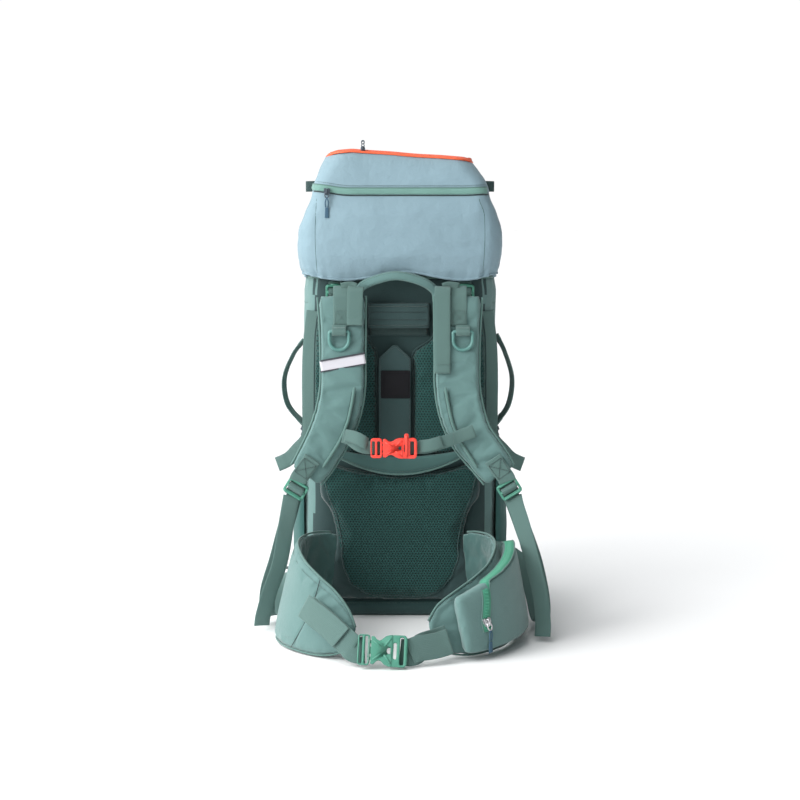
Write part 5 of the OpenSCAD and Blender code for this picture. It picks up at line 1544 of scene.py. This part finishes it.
def wall(bottom, top, s):
    """(bottom, top, up, out) along a wing; out is away from the wearer."""
    low, high = vectors(bottom), vectors(top)
    mid = [(a + b) / 2 for a, b in zip(low, high)]
    rows = []
    for i, (a, b) in enumerate(zip(low, high)):
        t = (mid[min(i + 1, len(mid) - 1)] - mid[max(i - 1, 0)]).normalized()
        up = b - a
        up = (up - t * up.dot(t)).normalized()
        rows.append((a, b, up, t.cross(up).normalized() * (1 if s < 0 else -1), t))
    return rows


def wing(s, name):
    rows = wall(catmull(WING[s][0], 5), catmull(WING[s][1], 5), s)
    last = len(rows) - 1
    rings = []
    for i, (a, b, up, out, t) in enumerate(rows):
        end = min(1, (last - i + 0.3) / 4)
        span = (b - a).length
        rings.append(superellipse((a + b) / 2, (b - a).normalized(), out, span - 4,
                12.4 * (0.4 + 0.6 * math.sqrt(end)), 40, 0.42, 0.6))
    o = Shape().loft(rings).piece(f"hip_wing_{name}_foam", [PAD, PAD_SHADE], "pack", f"hip_wing_{name}", "pad_cloth")
    rim = [p for i in range(0, last + 1) for p in (rows[i][0], rows[i][1])] + [rows[-1][0].lerp(rows[-1][1], k / 6)
            for k in range(7)]
    tree = kdtree.KDTree(len(rim))
    for i, p in enumerate(rim):
        tree.insert(p, i)
    tree.balance()
    puff(o, 2.6, lambda p: 1.0 if tree.find(p)[2] < 7 or p.y > -140 else 0.0)
    centre = Vector((0, -240, 80))
    paint(o, lambda c, n: 1 if n.dot((centre - c).normalized()) > 0.45 else 0)
    binding = Shape()
    for which in (0, 1):
        line = [row[which] + row[3] * 2.5 + (row[2] if which == 0 else -row[2]) * 2 for row in rows[2:]]
        binding.rod(line, 1.6, 8)
    binding.piece(f"hip_wing_{name}_binding", PIPING, "pack")
    line = [row[0].lerp(row[1], 0.93) + row[3] * 8 for row in rows[3:last]]
    carve(o, [list(p) for p in line[::3]], 2.0, 1.2)
    stitch("pack", [row[0].lerp(row[1], 0.9) + row[3] * 6.6 for row in rows[3:last]],
            [row[3] for row in rows[3:last]])
    return o, rows


LEFT_WING, LEFT_ROWS = wing(-1, "left")
wing(1, "right")


def left_seam():
    """The seam that crosses the left wing from its top edge to its lower edge."""
    seam = []
    for k in range(13):
        t = k / 12
        i = 24 + 2.2 * (1 - t) + 0.8 * math.sin(math.pi * t)
        a, b = LEFT_ROWS[int(i)], LEFT_ROWS[int(i) + 1]
        f = i - int(i)
        low, high, out = a[0].lerp(b[0], f), a[1].lerp(b[1], f), a[3].lerp(b[3], f)
        seam.append(low.lerp(high, 0.97 - 0.94 * t) + out * 7.5)
    carve(LEFT_WING, [list(p) for p in seam], 2.0, 1.8)
    Shape().rod(seam, 0.6, 6).piece("hip_wing_left_seam", THREAD_DARK, "pack")


left_seam()


# Lower end of the hip pocket's zip, where its slider rests
HIP_ZIP_UP, HIP_ZIP_OUT = Vector((-0.2614, 0.0052, 0.9652)), Vector((0.5735, -0.8035, 0.1596))
HIP_ZIP_AT = Vector((119.31, -358.37, 76.75)) - HIP_ZIP_UP * 21 + HIP_ZIP_OUT * 0.6


def hip_pocket():
    low, high = catmull(WING[1][0][2:7] + [[88, -350, 4]], 6), catmull(WING[1][1][2:7] + [[70, -343, 94]], 6)
    rows = wall(low, high, 1)
    last = len(rows) - 1
    off, thick = 7 + 1.2 + 12, 23.5
    rings = []
    for i, (a, b, up, out, t) in enumerate(rows):
        end = math.sqrt(min(1, (i + 0.25) / 4, (last - i + 0.25) / 3.5))
        lo, hi = a.lerp(b, 0.06), a.lerp(b, 0.955)
        grow = 0.72 + 0.28 * end
        rings.append(superellipse((lo + hi) / 2
                + out * (off - thick / 2 * (1 - 0.55 * (1 - end)) + thick / 2 * (0.45 + 0.55 * end)),
                                  (hi - lo).normalized(), out, (hi - lo).length * grow,
                                          thick * (0.45 + 0.55 * end) * 0.98, 48, 0.36, 0.42))
    o = Shape().loft(rings).piece("hip_pocket_cloth", [BAG, PAD_SHADE], "pack", "hip_pocket", "pack_cloth")
    puff(o, 2.2, lambda p: 0.0, pressure=2.5, voxel=0.005, grow=0.01)
    points = mesh_points(o)
    tree = kdtree.KDTree(len(points))
    for i, p in enumerate(points):
        tree.insert(p, i)
    tree.balance()
    normals = [v.normal.copy() for v in o.data.vertices]

    def on(p, lift):
        i = tree.find(p)[1]
        return points[i] + normals[i] * lift, normals[i]
    # The zip follows the top gusset towards the front end, and then down it
    guide = []
    for a, b, up, out, t in rows[2:19]:
        guide.append(a.lerp(b, 0.97) + out * (off + 4))
    a, b, up, out, t = rows[19]
    corner = a.lerp(b, 0.90) + out * (off + 6)
    guide += [corner.lerp(HIP_ZIP_AT, share) for share in (0.0, 0.35, 0.7, 1.0)] + [HIP_ZIP_AT - HIP_ZIP_UP * 13]
    pairs = [on(Vector(p), 0.8) for p in catmull([list(p) for p in guide], 3)]
    path = [p for p, n in pairs]
    for _ in range(3):
        path = [path[0]] + [(path[i - 1] + path[i] * 2 + path[i + 1]) / 4
                for i in range(1, len(path) - 1)] + [path[-1]]
    zip_tape = Shape()
    section = [(-1, 0), (-0.9, 0.9), (-0.4, 1.2), (0, 1.5), (0.4, 1.2), (0.9, 0.9), (1, 0), (0.6, -0.8), (-0.6, -0.8)]
    zrings = []
    for i, p in enumerate(path):
        t = (path[min(i + 1, len(path) - 1)] - path[max(i - 1, 0)]).normalized()
        n = (pairs[i][1] - t * pairs[i][1].dot(t)).normalized()
        side = t.cross(n)
        zrings.append([p + side * (u * 7.5) + n * h for u, h in section])
    zip_tape.loft(zrings, uv=lambda i, j: (i * 2.5 * MM, section[j][0]))
    for k in (0, 6):
        zip_tape.rod([r[k] for r in zrings], 1.2, 8, mat=1)
    zip_tape.piece("hip_zip_tape", [ZIP_GREEN, PIPING], "pack", "hip_zip_track", "zip_green")
    # Seam round the outer face
    face = [row[0].lerp(row[1], 0.93) + row[3] * (off + 14) for row in rows[2:last]]
    carve(o, [list(p) for p in face[::2]], 2.0, 1.2)


hip_pocket()


def belts():
    lean, dip = math.radians(20), math.radians(3)
    at = Vector((-26, -404, 26))

    def local(x, y):
        return list(at + Vector((x * math.cos(dip) - y * math.sin(lean) * math.sin(dip), y * math.cos(lean),
                                 -x * math.sin(dip) - y * math.sin(lean) * math.cos(dip))))
    side = (0, 0.34, 1)
    left = Shape().strap(vectors(catmull([[-134, -343, 74], [-118, -358, 64], [-101, -372, 53], [-85, -385, 41],
            [-73, -393, 32], local(-38, 7.8),
                                          local(-24, 7.5)], 7)),
                         side, 38, 1.6, soft=0.3)
    doubled = [[-141, -341.5, 77], [-127, -355.5, 69], [-111, -369.5, 60], [-96, -381.5, 50], [-85, -390, 41]]
    left.strap(vectors(catmull(doubled, 6)), (0.05, 0.34, 1), 36.5, 1.6)
    left.piece("belt_webbing_left_strap", WEB, "pack", "belt_webbing_left", "webbing")
    right = Shape().strap(vectors(catmull([local(26, 7.5), local(44, 7.5), [34, -388, 29], [54, -376, 32],
            [70, -370, 36]], 7)), side, 38, 1.6)
    front = [local(40, 3.5), [26, -397, 27], [42, -392, 28], [58, -386, 30], [72, -380, 33]]
    right.strap(vectors(catmull(front, 6)), side, 37, 1.6, hem=6)
    right.piece("belt_webbing_right_strap", WEB, "pack", "belt_webbing_right", "webbing")


belts()

# ---------------------------------------------------------------- sliders on the lid and the hip pocket

slider("lid_rear_zip_pull", "lid_rear_slider", "lid_rear_zip_slider", [NAVY, BLUE], (-113, -129.2, 679), (1, 0, 0),
        (0, -1, 0), (0, 0, 1), 30, cord=True)
slider("lid_top_zip_pull", "lid_top_slider", "lid_top_zip_slider", [NAVY, NAVY], (-58, -93, 745), (1, 0, 0),
        (0, -0.894, 0.447), (0, -0.447, -0.894), 7,
       scale=0.72)
slider("hip_zip_pull", "hip_slider", "hip_zip_slider", [SILVER, BLUE], HIP_ZIP_AT, HIP_ZIP_UP.cross(HIP_ZIP_OUT),
        HIP_ZIP_OUT, HIP_ZIP_UP, 34, cord=True, scale=1.25,
       slot="slider_silver")

for (body, dark), shape in stitches.items():
    shape.piece(f"stitching_{body}{'_dark' if dark else ''}", THREAD_DARK if dark else THREAD, body)

# ---------------------------------------------------------------- floor

floor_mesh = bpy.data.meshes.new("floor")
floor_mesh.from_pydata([(-30, -30, 0), (30, -30, 0), (30, 30, 0), (-30, 30, 0)], [], [(0, 1, 2, 3)])
floor = bpy.data.objects.new("floor", floor_mesh)
scene.collection.objects.link(floor)
paper = Nodes("floor_paper", 0.9)
floor_mesh.materials.append(paper.done(paper.shades((0.93, 0.93, 0.93), 0.01, paper.noise(3))))
